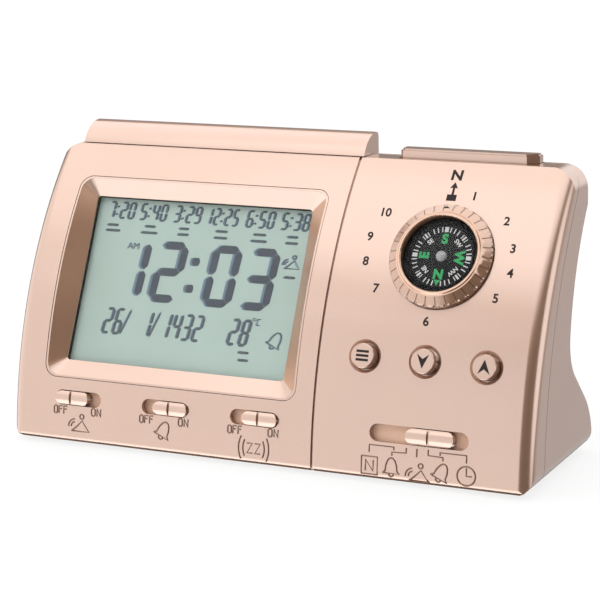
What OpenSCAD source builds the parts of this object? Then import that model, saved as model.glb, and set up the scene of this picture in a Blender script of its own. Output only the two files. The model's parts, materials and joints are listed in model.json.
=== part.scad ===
// Desk prayer-time clock: sloped curved front with a display, a city selector
// ring round a small compass, keys, slide switches and two push bars on top.
// Shell coordinates: y = 0 at the front edge, z = 0 at the case's underside.

/* [Case] */
// Width of the case
case_w = 185; // [180:1:190]
// Depth of the case at its foot
case_d = 59; // [58:0.5:61]
// Height of the case, without feet and bars
case_h = 94.2; // [94:0.1:95]
// Wall thickness of both shells
wall = 2; // [1.8:0.1:2.1]
// Radius of the curved front, seen from the side
face_r = 150.3; // [148:0.5:153]
// How far the centre of the front curve lies under the case
face_drop = 10.9; // [10:0.1:12]
// Rounding of the front's two side edges
edge_r = 4.5; // [3:0.5:6]
// Rounding of the front's lower edge
lower_edge_r = 2.4; // [1:0.2:4]
// Rounding of the front's upper edge
upper_edge_r = 0.8; // [0.4:0.1:1.2]
// Corner rounding at the top, seen from the front
top_corner_r = 8; // [6:0.5:9]
// Corner rounding at the bottom, seen from the front
low_corner_r = 6; // [4:0.5:8]
// Depth of the front shell along the underside
seam_d = 12.3; // [11.5:0.1:13]
// Radius of the seam between the shells
seam_r = 146.2; // [144:0.2:149]
// How far the centre of the seam curve lies under the case
seam_drop = 3.4; // [3:0.1:4]
// Gap between the two shells
seam_gap = 0.25; // [0.15:0.05:0.4]
// Width of the groove between display side and key side
groove_w = 0.9; // [0.6:0.1:1.2]
// Width of the key side, right of that groove
key_side_w = 73.1; // [72.5:0.1:74]

/* [Back] */
// Depth at the waist of the back
waist_y = 36.6; // [36:0.2:38]
// Height of the waist
waist_z = 42; // [40:0.5:43]
// Lean of the back at the waist, in degrees
waist_lean = 8; // [6:1:10]
// Radius of the waist
waist_r = 16; // [14:0.5:17]
// Radius of the upper back
back_r = 84; // [80:1:90]
// Depth of the case's flat top, behind the curved front
top_flat = 10.54; // [10:0.02:11.5]
// Rounding of the top back edge
back_corner_r = 2; // [1:0.5:3]
// Steepness of the foot's slope, in degrees
slope_a = 46.6; // [45:0.2:48]
// Radius of the foot's back
foot_r = 24; // [22:0.5:25]
// Rounding of the foot's low back edge
foot_corner_r = 3; // [2.5:0.5:4]
// Where the underside starts to rise
rise_y = 40; // [38:1:42]
// Radius of that rise
rise_r = 110; // [90:5:140]

/* [Display] */
// How far the display stands to the right in its side of the front
display_right = 2.8; // [2:0.1:3.6]
// How far the display stands above the case's middle
display_up = 7.7; // [7:0.1:8.4]
// Front left free beside the display's frame, both sides together
bezel_beside = 18.9; // [18:0.1:20]
// Front left free above and below the display's frame, together
bezel_above_below = 24.2; // [23:0.1:26]
// Corner rounding of the frame
bezel_corner_r = 4.5; // [3:0.5:6]
// Flat rim of the frame round its slope
bezel_rim = 0.8; // [0.4:0.1:1]
// Gap round the frame
bezel_gap = 0.2; // [0.1:0.05:0.3]
// Width of the frame's sloping sides
slope_side_w = 6.2; // [5.8:0.1:6.6]
// Width of the frame's slopes above and below
slope_end_w = 6.5; // [6:0.1:7]
// Depth of the window below the front
window_deep = 5.9; // [5.6:0.1:6.2]
// Thickness of the clear window
lens_t = 1.5; // [1:0.1:1.6]
// Thickness of the display glass
glass_t = 2.6; // [2:0.1:2.8]
// Thickness of the light guide behind the glass
guide_t = 2.4; // [2:0.1:2.6]
// Thickness of the boards
board_t = 1.6; // [1.2:0.1:1.6]

/* [Selector and compass] */
// How far the selector stands left of its side's middle
ring_left = 0.55; // [0:0.05:1]
// Middle of the selector, below the case's top
ring_down = 26.3; // [25.8:0.1:27]
// Diameter of the selector ring
ring_d = 34; // [33:0.2:34.6]
// How far the ring stands out
ring_out = 3.2; // [2.6:0.1:3.6]
// Diameter of the ring's sleeve
sleeve_d = 29.8; // [29:0.2:30]
// Running clearance of the sleeve, in radius
sleeve_fit = 0.08; // [0.03:0.01:0.1]
// Number of notches in the ring
ring_notches = 30; // [20:1:36]
// Diameter of the compass bowl
bowl_d = 24.4; // [24:0.1:24.6]
// Diameter of the compass card
card_d = 20.6; // [20:0.1:21]

/* [Keys] */
// Diameter of a key
key_d = 8; // [7.6:0.1:8.4]
// Spacing of the keys
key_pitch = 20.2; // [19:0.2:21]
// How far the keys lie below the selector's middle
key_down = 30.3; // [29.6:0.1:30.8]
// How far a key stands out
key_out = 2.2; // [1.6:0.1:2.4]
// Travel of a key
key_travel = 1; // [0.8:0.1:1.2]

/* [Slide switches] */
// Height of the slots above the underside
slot_z = 15.1; // [14.6:0.1:15.6]
// Length of an on/off slot
slot_l = 17.3; // [17:0.1:18]
// Height of an on/off slot
slot_h = 5; // [4.6:0.1:5.4]
// Length of an on/off knob
knob_l = 12.4; // [12:0.1:12.8]
// Left and right slots' middles, inwards from the ends of the display's frame
outer_slot_in = 13.85; // [13:0.05:15]
// How far the three slots stand left of the display's middle
slots_left = 0.2; // [0:0.05:0.5]
// Length of the mode slot
mode_l = 33; // [32:0.2:34]
// Height of the mode slot
mode_h = 5.6; // [5:0.1:6]
// Length of the mode knob
mode_knob_l = 16; // [15:0.2:17]
// Step between two modes
mode_step = 3.85; // [3.7:0.05:3.95]
// How far the knobs stand out
knob_out = 1.2; // [0.8:0.1:1.4]
// Clearance of the sliding pieces
slide_gap = 0.3; // [0.2:0.05:0.4]

/* [Top bars] */
// Left end of the long bar, from the case's side
long_bar_in = 8; // [7.5:0.1:9]
// How far the long bar reaches past the groove
long_bar_past = 1.1; // [0.6:0.1:1.6]
// How far the long bar stands above the case
long_bar_up = 6.8; // [6.4:0.1:7.2]
// Left end of the short bar, from the groove
short_bar_from = 12.6; // [12:0.2:13.4]
// Right end of the short bar, from the case's side
short_bar_in = 14; // [13:0.2:15]
// Front of the short bar, from the case's top back edge
short_bar_front = 8; // [7.8:0.1:8.2]
// Back of the short bar, from the case's top back edge
short_bar_back = 2.4; // [2.2:0.1:2.8]
// How far the short bar stands above the case
short_bar_up = 3; // [2.6:0.1:3.4]
// Gap round a bar
bar_gap = 0.3; // [0.2:0.05:0.4]

/* [Power and sound] */
// Middle of the battery door and the speaker, down the foot's slope
slope_down = 6.9; // [6.4:0.1:7.4]
// Diameter of a cell
cell_d = 14.5; // [14.3:0.1:14.5]
// Length of a cell with its nub
cell_l = 50.5; // [50:0.1:50.5]
// Middle of the cells, from the case's left side
cell_in = 58.5; // [54:0.5:62]
// Room for the contacts at both ends together
contact_l = 6; // [5:0.5:7]
// Diameter of the speaker
speaker_d = 28; // [26:0.5:29]
// Middle of the speaker, from the case's right side
speaker_in = 47.5; // [45:0.5:50]
// Width of a speaker slot
grille_w = 1.6; // [1.2:0.1:2]
// Pitch of the speaker slots
grille_pitch = 3.2; // [3:0.1:4]
// Height of the rubber feet
foot_h = 1; // [0.8:0.1:1.4]
// Diameter of the rubber feet
pad_d = 8; // [7:0.5:9]

/* [Hidden] */

$fn = 64;
paint = "#d9b39c";
paint_dark = "#c49a80";
arc_len = 1.5;
// how far the front's edge roundings reach past the front curve before they meet it
edge_cross = 0.03;
half_w = case_w / 2;
face_cz = -face_drop;
face_cy = sqrt(face_r * face_r - face_drop * face_drop);
back_y = face_y(case_h) + top_flat;
groove_x = half_w - key_side_w;
display_x = (groove_x - half_w) / 2 + display_right;
display_z = case_h / 2 + display_up;
bezel_w = groove_x + half_w - bezel_beside;
bezel_h = case_h - bezel_above_below;
window_w = bezel_w - 2 * slope_side_w;
window_h = bezel_h - 2 * slope_end_w;
ring_x = (groove_x + half_w) / 2 - ring_left;
ring_z = case_h - ring_down;
key_z = ring_z - key_down;
left_slot_x = display_x - slots_left - (bezel_w / 2 - outer_slot_in);
mid_slot_x = display_x - slots_left / 4;
right_slot_x = display_x - slots_left + (bezel_w / 2 - outer_slot_in);
cell_x = cell_in - half_w;
speaker_x = half_w - speaker_in;
seam_cz = -seam_drop;
seam_cy = seam_d + sqrt(seam_r * seam_r - seam_drop * seam_drop);
reach = 40;
eps = 0.01;

// outline of the back, built from arcs that meet smoothly
waist_c = [waist_y + waist_r * cos(waist_lean), waist_z - waist_r * sin(waist_lean)];
back_c = [waist_y + back_r * cos(waist_lean), waist_z - back_r * sin(waist_lean)];
slope_n = [cos(slope_a), sin(slope_a)];
slope_top = waist_c - waist_r * slope_n;
foot_cy = case_d - foot_r;
foot_c = [foot_cy, (slope_top * slope_n - foot_r - foot_cy * slope_n[0]) / slope_n[1]];
slope_low = foot_c + foot_r * slope_n;
slope_along = (slope_low - slope_top) / norm(slope_low - slope_top);
slope_mid = slope_top + slope_down * slope_along;
rise_c = [rise_y, rise_r];
corner_c = meet(rise_c, rise_r - foot_corner_r, foot_c, foot_r - foot_corner_r);
back_reach = max(corner_c[0] + foot_corner_r, foot_c[0] + foot_r * (corner_c[1] < foot_c[1] ? 1 : 0));

// depths below the front of what lies behind it
lens_lip = 0.6;
lens_z = window_deep + lens_lip;
lens_w = window_w + 3.4;
lens_h = window_h + 3.4;
holder_z = lens_z + lens_t + 0.1;
guide_z = holder_z + glass_t + 0.1;
holder_back = guide_z + guide_t + 0.8;
rubber_y = 1.1 - lens_h / 2;
rubber_w = window_w - 10.6;
ring_seat = 2.2;
ring_boss = 4.5;
ring_tail = 6.9;
ring_bore_gap = 0.35;
selector_board_z = 8.8;
bowl_top = 1.2;
card_z = -0.4;
card_t = 0.4;
dome_h = 2.2;
dome_r = (bowl_d * bowl_d / 4 + dome_h * dome_h) / (2 * dome_h);
key_stem = 5.3;
key_board_z = 9.2;
key_board_margin = 9;
lever_z = 5.2;
slide_board_z = 8;
slide_board_x0 = left_slot_x - 10.4;
slide_board_x1 = ring_x + 19.6;
slide_board_h = 9;
knob_crown_r = 3.4;
knob_split_off = 0.5;
knob_split_deep = 0.9;
slot_travel = slot_l - knob_l - 2 * slide_gap;
mode_x = ring_x;
groove_deep = 0.8;

// posts and screws
post_r = 2;
screw_r = 0.95;
screw_l = 5;
screw_head_r = 1.8;
screw_head_h = 1.2;
holder_posts = [for (x = [-1, 1], y = [-20, 20]) [x * (bezel_w / 2 + 2.7), y]];
holder_ear = 6;
holder_ear_in = 2.46;
ring_post_x = ring_d / 2 + wall + 1.8;
ring_post_y = 12;
ring_posts = [for (x = [-ring_post_x, ring_post_x], y = [-ring_post_y, ring_post_y]) [x, y]];
key_posts = [for (s = [-1, 1]) [s * key_pitch / 2, 0]];
slide_posts = [for (x = [(left_slot_x + mid_slot_x) / 2, (mid_slot_x + right_slot_x) / 2, groove_x - 1.9]) [x, -1]];
case_post_r = 3.5;
case_screw_r = 1.3;
case_head_r = 2.7;
case_screw_x = half_w - 8.5;
high_screw_z = case_h - 8.2;
low_screw_z = 26;
high_meet_y = back_y - 8;
low_meet_y = 24;
high_seat_y = back_y - 4;
low_seat_y = 30;

// top bars
long_bar_x0 = long_bar_in - half_w;
long_bar_x1 = groove_x + long_bar_past;
long_bar_z = case_h + long_bar_up;
short_bar_x0 = groove_x + short_bar_from;
short_bar_x1 = half_w - short_bar_in;
short_bar_y0 = back_y - short_bar_front;
short_bar_y1 = back_y - short_bar_back;
short_bar_z = case_h + short_bar_up;
short_bar_corner = 3.5;
bar_wall = 1.6;
bar_lip_y = back_y - 8.4;
bar_back_y = back_y + 1.2;
bar_corner_r = 1.5;
bar_front_r = 10.9;
bar_front_c = [back_y - 0.8, long_bar_z - bar_front_r];
bar_drop = 1.3;
bar_stem_x = (long_bar_x0 + long_bar_x1) / 2;
bar_stem_y = back_y - 4.8;
bar_stem_r = 1.8;
bar_stem_z = case_h - 5.8;
bar_stem_top = long_bar_z - bar_wall - 0.7;
short_stem_x = (short_bar_x0 + short_bar_x1) / 2;
shelf_z = case_h - 1.8;
top_board_z = case_h - 10.8;
top_board_past = [30, 17];
top_board_x0 = bar_stem_x - top_board_past[0];
top_board_x1 = short_stem_x + top_board_past[1];
top_board_d = 6.8;
ledge_x = [top_board_x0 + 4, (bar_stem_x + short_stem_x) / 2 - 16, top_board_x1 - 8];

// power, sound and feet
speaker_z = 3.6;
cell_z = wall + 1.2 + cell_d / 2;
tray_l = cell_l + contact_l;
door_w = tray_l + 2.8;
door_h = 2 * cell_d + 1;
foot_x = half_w - 16.5;
front_foot_y = 18;
back_foot_y = case_d - 10;
foot_sunk = 0.9;

function meet(p, rp, q, rq) =
    let (d = norm(q - p), u = (q - p) / d)
    let (a = (rp * rp - rq * rq + d * d) / (2 * d))
    let (h = sqrt(rp * rp - a * a))
    p + a * u + h * [-u[1], u[0]];
function heading(p, q) = atan2(q[1] - p[1], q[0] - p[0]);
function arc(c, r, a0, a1) =
    let (n = max(2, ceil(abs(a1 - a0) * r * PI / 180 / arc_len)))
    [for (i = [0:n]) c + r * [cos(a0 + (a1 - a0) * i / n), sin(a0 + (a1 - a0) * i / n)]];
function face_a(z) = asin((z - face_cz) / face_r);
function face_y(z) = face_cy - face_r * cos(face_a(z));

// centre of an edge rounding of radius r at height z, crossing the front curve at a small angle
function edge_c(r, z) = [face_cy - sqrt(pow(face_r + edge_cross - r, 2) - pow(z - face_cz, 2)), z];

// side view of the case, inset by e, open to the front except for its two rounded edges
function side_outline(e) =
    let (y1 = back_y - e, r = max(back_corner_r - e, 0.3))
    let (turn = acos((y1 - back_c[0]) / (back_r + e)))
    let (rl = lower_edge_r, cl = edge_c(rl, rl))
    let (ru = upper_edge_r, cu = edge_c(ru, case_h - ru))
    let (al = heading([face_cy, face_cz], cl), au = heading([face_cy, face_cz], cu))
    let (lo = e > 0 ? [[-reach, e]] : concat([[-reach, cl[1] + rl * sin(al)]], arc(cl, rl, al, 270)))
    let (hi = e > 0 ? [[-reach, case_h - e]] : concat(arc(cu, ru, 90, au), [[-reach, cu[1] + ru * sin(au)]]))
    concat(lo,
        arc(rise_c, rise_r - e, -90, heading(rise_c, corner_c)),
        arc(corner_c, foot_corner_r - e, heading(rise_c, corner_c), heading(foot_c, corner_c)),
        arc(foot_c, foot_r - e, heading(foot_c, corner_c), slope_a),
        arc(waist_c, waist_r + e, 180 + slope_a, 180 - waist_lean),
        arc(back_c, back_r + e, 180 - waist_lean, turn),
        arc([y1 - r, case_h - e - r], r, 0, 90),
        hi);

// front view of the case, inset by e
function front_outline(e) =
    let (w = half_w - e, rt = top_corner_r - e, rl = low_corner_r - e)
    concat(arc([w - rt, case_h - e - rt], rt, 0, 90),
        arc([rt - w, case_h - e - rt], rt, 90, 180),
        arc([rl - w, e + rl], rl, 180, 270),
        arc([w - rl, e + rl], rl, 270, 360));

// moves shell coordinates to the part's own frame, standing on its feet
module stand() {
    translate([0, -back_reach / 2, foot_h]) children();
}

// along x, from a side view in (y, z)
module along_x(x0, x1) {
    translate([x0, 0, 0]) rotate([90, 0, 90]) linear_extrude(x1 - x0) children();
}

// frame on the front: x along the case, y up the front, z straight out of it
module on_face(x, z) {
    translate([x, face_y(z), z]) rotate([90 - face_a(z), 0, 0]) children();
}

// frame on the foot's slope: z straight out of it
module on_slope(x) {
    translate([x, slope_mid[0], slope_mid[1]]) rotate([slope_a - 90, 0, 0]) children();
}

module block(x, y, z) {
    translate([-x / 2, -y / 2, 0]) cube([x, y, z]);
}

module rounded(w, h, r, t) {
    linear_extrude(t) {
        square([w - 2 * r, h], center = true);
        square([w, h - 2 * r], center = true);
        for (x = [r - w / 2, w / 2 - r], y = [r - h / 2, h / 2 - r]) translate([x, y]) circle(r);
    }
}

// solid of turning about the front curve's axis, which gives the curved front and its side edges
module face_body(e) {
    w = half_w - e;
    r = edge_r - e;
    translate([0, face_cy, face_cz]) rotate([0, 90, 0]) rotate([0, 0, 210]) rotate_extrude(angle = 60, $fn = 360)
        union() {
            translate([face_r / 3, -w]) square([face_r - e - r - face_r / 3, 2 * w]);
            translate([face_r / 3, r - w]) square([face_r - e - face_r / 3, 2 * (w - r)]);
            for (s = [-1, 1]) translate([face_r - e - r, s * (w - r)]) circle(r);
        }
}

module case_body(e) {
    intersection() {
        face_body(e);
        along_x(e - half_w, half_w - e) polygon(side_outline(e));
        translate([0, case_d + reach, 0]) rotate([90, 0, 0]) linear_extrude(case_d + 2 * reach)
            polygon(front_outline(e));
    }
}

module case_skin() {
    difference() {
        case_body(0);
        case_body(wall);
    }
}

// everything behind the seam
module behind_seam(gap) {
    translate([-case_w, seam_cy, seam_cz]) rotate([0, 90, 0]) cylinder(r = seam_r - gap, h = 2 * case_w, $fn = 360);
}

// round post with a blind pilot hole, from depth d up to the wall
module post(d) {
    translate([0, 0, -d]) cylinder(r = post_r, h = d - wall / 2);
}

module pilot(d) {
    translate([0, 0, -d - eps]) cylinder(r = screw_r + 0.05, h = screw_l);
}

// small screw with its head behind depth d
module board_screw(d) {
    translate([0, 0, -d]) cylinder(r = screw_r, h = screw_l - 0.5);
    difference() {
        translate([0, 0, -d - screw_head_h]) cylinder(r = screw_head_r, h = screw_head_h);
        for (a = [0, 90]) rotate(a) translate([0, 0, -d - screw_head_h - eps]) block(2.4, 0.5, 0.6);
    }
}

module at_posts(places) {
    for (p = places) translate([p[0], p[1], 0]) children();
}

module on_keys() {
    for (i = [-1:1]) on_face(ring_x + i * key_pitch, key_z) children();
}

// window opening: flat at the window, curved with the front at its outer edge
module slope_opening() {
    w = bezel_w - 2 * bezel_rim;
    h = bezel_h - 2 * bezel_rim;
    hull() {
        translate([0, 0, -window_deep]) rounded(window_w, window_h, 1.3, eps, $fn = 16);
        intersection() {
            translate([0, 0, -window_deep]) rounded(w, h, bezel_corner_r, 2 * window_deep, $fn = 32);
            translate([0, 0, -face_r]) rotate([0, 90, 0])
                translate([0, 0, -w]) cylinder(r = face_r, h = 2 * w, $fn = 240);
        }
    }
    translate([0, 0, -2 * window_deep]) rounded(window_w, window_h, 1.3, window_deep + 0.1, $fn = 16);
}

module case_post(y0, y1) {
    translate([0, y0, 0]) rotate([-90, 0, 0]) cylinder(r = case_post_r, h = y1 - y0);
}

module drill(y0, y1, r) {
    translate([0, y0, 0]) rotate([-90, 0, 0]) cylinder(r = r, h = y1 - y0);
}

module at_case_screws() {
    for (s = [-1, 1]) {
        translate([s * case_screw_x, 0, high_screw_z]) {
            $seat = high_seat_y;
            $meet = high_meet_y;
            $tip = high_meet_y - 5;
            children();
        }
        translate([s * case_screw_x, 0, low_screw_z]) {
            $seat = low_seat_y;
            $meet = low_meet_y;
            $tip = low_meet_y - 8;
            children();
        }
    }
}

// room that the long bar needs in the top of the case
module long_bar_room() {
    translate([long_bar_x0 - bar_gap, bar_lip_y, shelf_z])
        cube([long_bar_x1 - long_bar_x0 + 2 * bar_gap, case_d, long_bar_z]);
    translate([bar_stem_x, bar_stem_y, shelf_z - 2 * wall]) cylinder(r = bar_stem_r + 1.2, h = 3 * wall);
}

module short_bar_room() {
    translate([short_bar_x0 - bar_gap, short_bar_y0 - bar_gap, shelf_z - wall])
        cube([short_bar_x1 - short_bar_x0 + 2 * bar_gap, short_bar_y1 - short_bar_y0 + 2 * bar_gap, 3 * wall]);
}

// shelf under the long bar, closing the top of the case there
module shelf() {
    translate([long_bar_x0 - bar_gap - wall, bar_lip_y - wall, shelf_z - wall])
        cube([long_bar_x1 - long_bar_x0 + 2 * (bar_gap + wall), case_d, wall]);
}

module front_shell() stand() color(paint) difference() {
    union() {
        difference() {
            case_skin();
            behind_seam(0);
        }
        intersection() {
            difference() {
                case_body(wall / 2);
                behind_seam(0);
            }
            union() {
                on_face(ring_x, ring_z) translate([0, 0, -ring_boss]) cylinder(r = ring_d / 2 + wall, h = 2 * ring_boss);
                on_face(ring_x, ring_z) at_posts(ring_posts) post(selector_board_z);
                on_face(display_x, display_z) at_posts(holder_posts) post(holder_z);
                on_face(ring_x, key_z) at_posts(key_posts) post(key_board_z);
                on_face(0, slot_z) at_posts(slide_posts) post(slide_board_z);
                at_case_screws() case_post(0, $meet);
                shelf();
            }
        }
    }
    on_face(display_x, display_z) translate([0, 0, -2 * window_deep])
        rounded(bezel_w, bezel_h, bezel_corner_r, 3 * window_deep);
    on_face(ring_x, ring_z) {
        translate([0, 0, -ring_seat]) cylinder(r = ring_d / 2 + slide_gap, h = ring_boss);
        translate([0, 0, -2 * ring_boss]) cylinder(r = sleeve_d / 2 + sleeve_fit, h = 3 * ring_boss);
        at_posts(ring_posts) pilot(selector_board_z);
    }
    on_face(display_x, display_z) at_posts(holder_posts) pilot(holder_z);
    on_face(ring_x, key_z) at_posts(key_posts) pilot(key_board_z);
    on_face(0, slot_z) at_posts(slide_posts) pilot(slide_board_z);
    on_keys() {
        translate([0, 0, -2 * wall]) cylinder(r = key_d / 2 + slide_gap, h = 3 * wall);
        translate([0, 0, -1.1]) cylinder(r1 = key_d / 2 + slide_gap, r2 = key_d / 2 + 2.4, h = 2.1);
    }
    for (x = [left_slot_x, mid_slot_x, right_slot_x]) on_face(x, slot_z) translate([0, 0, -2 * wall])
        rounded(slot_l, slot_h, slot_h / 2 - eps, 3 * wall);
    on_face(mode_x, slot_z) translate([0, 0, -2 * wall]) rounded(mode_l, mode_h, mode_h / 2 - eps, 3 * wall);
    intersection() {
        translate([groove_x - groove_w / 2, -eps, -eps]) cube([groove_w, case_d, 2 * case_h]);
        difference() {
            case_body(-eps);
            case_body(groove_deep);
        }
    }
    at_case_screws() drill($tip, $meet + eps, case_screw_r + 0.05);
    long_bar_room();
    short_bar_room();
}

module rear_shell() stand() color(paint) difference() {
    intersection() {
        behind_seam(seam_gap);
        union() {
            case_skin();
            intersection() {
                case_body(wall / 2);
                union() {
                    at_case_screws() case_post($meet + seam_gap, case_d + reach);
                    shelf();
                    for (x = ledge_x) translate([x, back_y - 6, top_board_z - 3]) cube([6, 6, 3]);
                    on_slope(speaker_x) difference() {
                        translate([0, 0, -speaker_z - 2]) cylinder(r = speaker_d / 2 + 1.4, h = 3 * wall + 2);
                        translate([0, 0, -speaker_z - 3]) cylinder(r = speaker_d / 2 + 0.2, h = 3);
                        cylinder(r = speaker_d / 2 - 1.5, h = 8 * wall, center = true);
                    }
                }
            }
        }
    }
    at_case_screws() {
        drill($meet, $seat + 1, case_screw_r + 0.3);
        drill($seat, case_d + reach, case_head_r + 0.4);
    }
    on_slope(cell_x) translate([0, 0, -3 * wall]) block(door_w, door_h, 8 * wall);
    on_slope(speaker_x) for (i = [-3:3]) translate([i * grille_pitch, 0, -4 * wall])
        rounded(grille_w, 2 * sqrt(pow(speaker_d / 2 - 2.4, 2) - pow(i * grille_pitch, 2)), grille_w / 2 - eps,
            8 * wall);
    at_feet() translate([0, 0, -foot_h]) cylinder(r = pad_d / 2 + 0.15, h = foot_h + foot_sunk);
    long_bar_room();
    short_bar_room();
}

module display_bezel() stand() color(paint) on_face(display_x, display_z) difference() {
    intersection() {
        translate([0, 0, -holder_z + 0.1]) rounded(bezel_w - 2 * bezel_gap, bezel_h - 2 * bezel_gap,
            bezel_corner_r - bezel_gap, 2 * window_deep);
        translate([0, 0, -face_r]) rotate([0, 90, 0]) translate([0, 0, -bezel_w])
            cylinder(r = face_r - 0.1, h = 2 * bezel_w, $fn = 360);
    }
    slope_opening();
    translate([0, 0, -holder_z]) rounded(lens_w + 0.2, lens_h + 0.2, 2, lens_t + 0.1);
}

module display_window() stand() color("#dfe8e4", 0.35) on_face(display_x, display_z)
    translate([0, 0, -lens_z - lens_t]) rounded(lens_w, lens_h, 2, lens_t);

module display_glass() stand() color("#aebfb2") on_face(display_x, display_z)
    translate([0, 0, -holder_z - glass_t]) block(lens_w, lens_h - 0.4, glass_t);

module light_guide() stand() color("#e8ecdf") on_face(display_x, display_z)
    translate([-1.5, 2, -guide_z - guide_t]) block(lens_w - 3, lens_h - 4.4, guide_t);

module backlight_led() stand() color("#f5f0c8") on_face(display_x, display_z)
    translate([lens_w / 2 - 1.6, 2, -guide_z - guide_t]) block(2, 4, guide_t);

module display_holder() stand() color("#2d2d30") on_face(display_x, display_z) difference() {
    union() {
        translate([0, 0, -holder_back]) block(lens_w + 5, lens_h + 4.6, holder_back - holder_z);
        for (p = holder_posts) translate([p[0] - sign(p[0]) * holder_ear_in, p[1], -holder_z - 2]) block(holder_ear + 2, holder_ear, 2);
    }
    translate([0, 0, -holder_back + 0.7]) block(lens_w + 0.6, lens_h + 0.6, holder_back);
    translate([0, rubber_y, -holder_back - 1]) block(rubber_w + 1, 2.4, holder_back);
    at_posts(holder_posts) translate([0, 0, -holder_back]) cylinder(r = screw_r + 0.15, h = holder_back);
}

module contact_rubber() stand() color("#6a6f78") on_face(display_x, display_z)
    translate([0, rubber_y, -holder_back + 0.05]) block(rubber_w, 1.8, holder_back - holder_z - glass_t - 0.1);

module main_board() stand() color("#2f6b3a") on_face(display_x, display_z)
    translate([0, 0, -holder_back - board_t]) rounded(lens_w + 2, lens_h - 3, 2, board_t);

module board_chips() stand() color("#222226") on_face(display_x, display_z)
    translate([0, 0, -holder_back - board_t]) {
        translate([-14, 2, -1.3]) cylinder(r = 7, h = 1.3);
        translate([14, 6, -1.8]) block(13, 9, 1.8);
        translate([-32, -8, -1.8]) block(8, 10, 1.8);
        translate([28, -12, -2.4]) rounded(8, 3.4, 1.6, 2.4);
        for (x = [0, 8]) translate([x, -14, -4]) cylinder(r = 2.5, h = 4);
    }

module selector_ring() stand() color(paint_dark) on_face(ring_x, ring_z) difference() {
    rotate_extrude() polygon([[bowl_d / 2 + ring_bore_gap, -ring_tail], [sleeve_d / 2 - 0.8, -ring_tail],
        [sleeve_d / 2 - 0.8, -ring_boss - 0.2], [sleeve_d / 2, -ring_boss - 0.2], [sleeve_d / 2, slide_gap - ring_seat],
        [ring_d / 2, slide_gap - ring_seat], [ring_d / 2, 1], [ring_d / 2 - 0.4, 1.4], [ring_d / 2 - 2.9, ring_out - 0.4],
        [ring_d / 2 - 3.3, ring_out - 0.4], [ring_d / 2 - 3.6, ring_out], [bowl_d / 2 + ring_bore_gap + 0.3, ring_out],
        [bowl_d / 2 + ring_bore_gap, ring_out - 0.3]]);
    for (i = [0:ring_notches - 1]) rotate(i * 360 / ring_notches)
        translate([ring_d / 2 - 1.2, 0, ring_out - 1.5]) rotate([0, 35, 0]) block(3.6, 0.35, 3);
}

module ring_retainer() stand() color("#3b3b3e") on_face(ring_x, ring_z)
    translate([0, 0, -ring_boss - 1.5]) difference() {
        cylinder(r = sleeve_d / 2 + 1.6, h = 1.2);
        translate([0, 0, -1]) cylinder(r = sleeve_d / 2 - 0.75, h = 4);
    }

module compass_bowl() stand() color("#151517") on_face(ring_x, ring_z) difference() {
    translate([0, 0, -selector_board_z]) cylinder(r = bowl_d / 2, h = selector_board_z + bowl_top);
    translate([0, 0, 1.2 - selector_board_z]) cylinder(r = bowl_d / 2 - 1, h = 2 * selector_board_z);
}

module compass_pin() stand() color("#c9ccd0") on_face(ring_x, ring_z) translate([0, 0, 1.2 - selector_board_z]) {
    cylinder(r = 2.5, h = 1);
    cylinder(r = 0.6, h = selector_board_z - 1.2 + card_z + 0.15);
}

module compass_card() stand() color("#101012") on_face(ring_x, ring_z) translate([0, 0, card_z]) difference() {
    cylinder(r = card_d / 2, h = card_t);
    translate([0, 0, -1]) cylinder(r = 0.9, h = 3);
}

module compass_hub() stand() color("#d5d5d2") on_face(ring_x, ring_z) translate([0, 0, card_z + card_t]) {
    cylinder(r1 = 1.85, r2 = 1.6, h = 0.8);
}

module compass_magnet() stand() color("#55585c") on_face(ring_x, ring_z) translate([0, 0, card_z - 1.2]) difference() {
    block(3.2, 13, 1.2);
    translate([0, 0, -1]) cylinder(r = 1, h = 3);
}

module compass_dome() stand() color("#e6eef0", 0.3) on_face(ring_x, ring_z) translate([0, 0, bowl_top]) {
    difference() {
        translate([0, 0, dome_h - dome_r]) sphere(r = dome_r, $fn = 128);
        translate([0, 0, dome_h - dome_r]) sphere(r = dome_r - 0.8, $fn = 128);
        translate([0, 0, -3 * dome_r]) block(4 * dome_r, 4 * dome_r, 3 * dome_r);
    }
}

module selector_board() stand() color("#2f6b3a") on_face(ring_x, ring_z)
    translate([0, 0, -selector_board_z - board_t]) difference() {
        rounded(2 * (ring_post_x + 2.7), 2 * (ring_post_y + 5), 3, board_t);
        at_posts(ring_posts) translate([0, 0, -1]) cylinder(r = screw_r + 0.15, h = 4);
    }

module key(i) on_face(ring_x + i * key_pitch, key_z) {
    translate([0, 0, key_out - 0.4]) cylinder(r1 = key_d / 2, r2 = key_d / 2 - 0.4, h = 0.4);
    translate([0, 0, -wall - slide_gap]) cylinder(r = key_d / 2, h = wall + slide_gap + key_out - 0.4);
    translate([0, 0, -wall - slide_gap - 0.8]) cylinder(r = key_d / 2 + 1.2, h = 0.8);
    translate([0, 0, -key_stem]) cylinder(r = 1.3, h = key_stem - wall);
}
module set_key() stand() color(paint) key(-1);
module down_key() stand() color(paint) key(0);
module up_key() stand() color(paint) key(1);

module key_switches() stand() color("#1f1f22") on_keys() {
    translate([0, 0, -key_board_z]) block(6, 6, key_board_z - key_stem - key_travel - 0.3);
    translate([0, 0, -key_stem - key_travel - 0.4]) cylinder(r = 1.7, h = 0.3);
}

module key_board() stand() color("#2f6b3a") on_face(ring_x, key_z) translate([0, 0, -key_board_z - board_t])
    difference() {
        rounded(2 * key_pitch + key_board_margin, 13, 2, board_t);
        at_posts(key_posts) translate([0, 0, -1]) cylinder(r = screw_r + 0.15, h = 4);
    }

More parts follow.
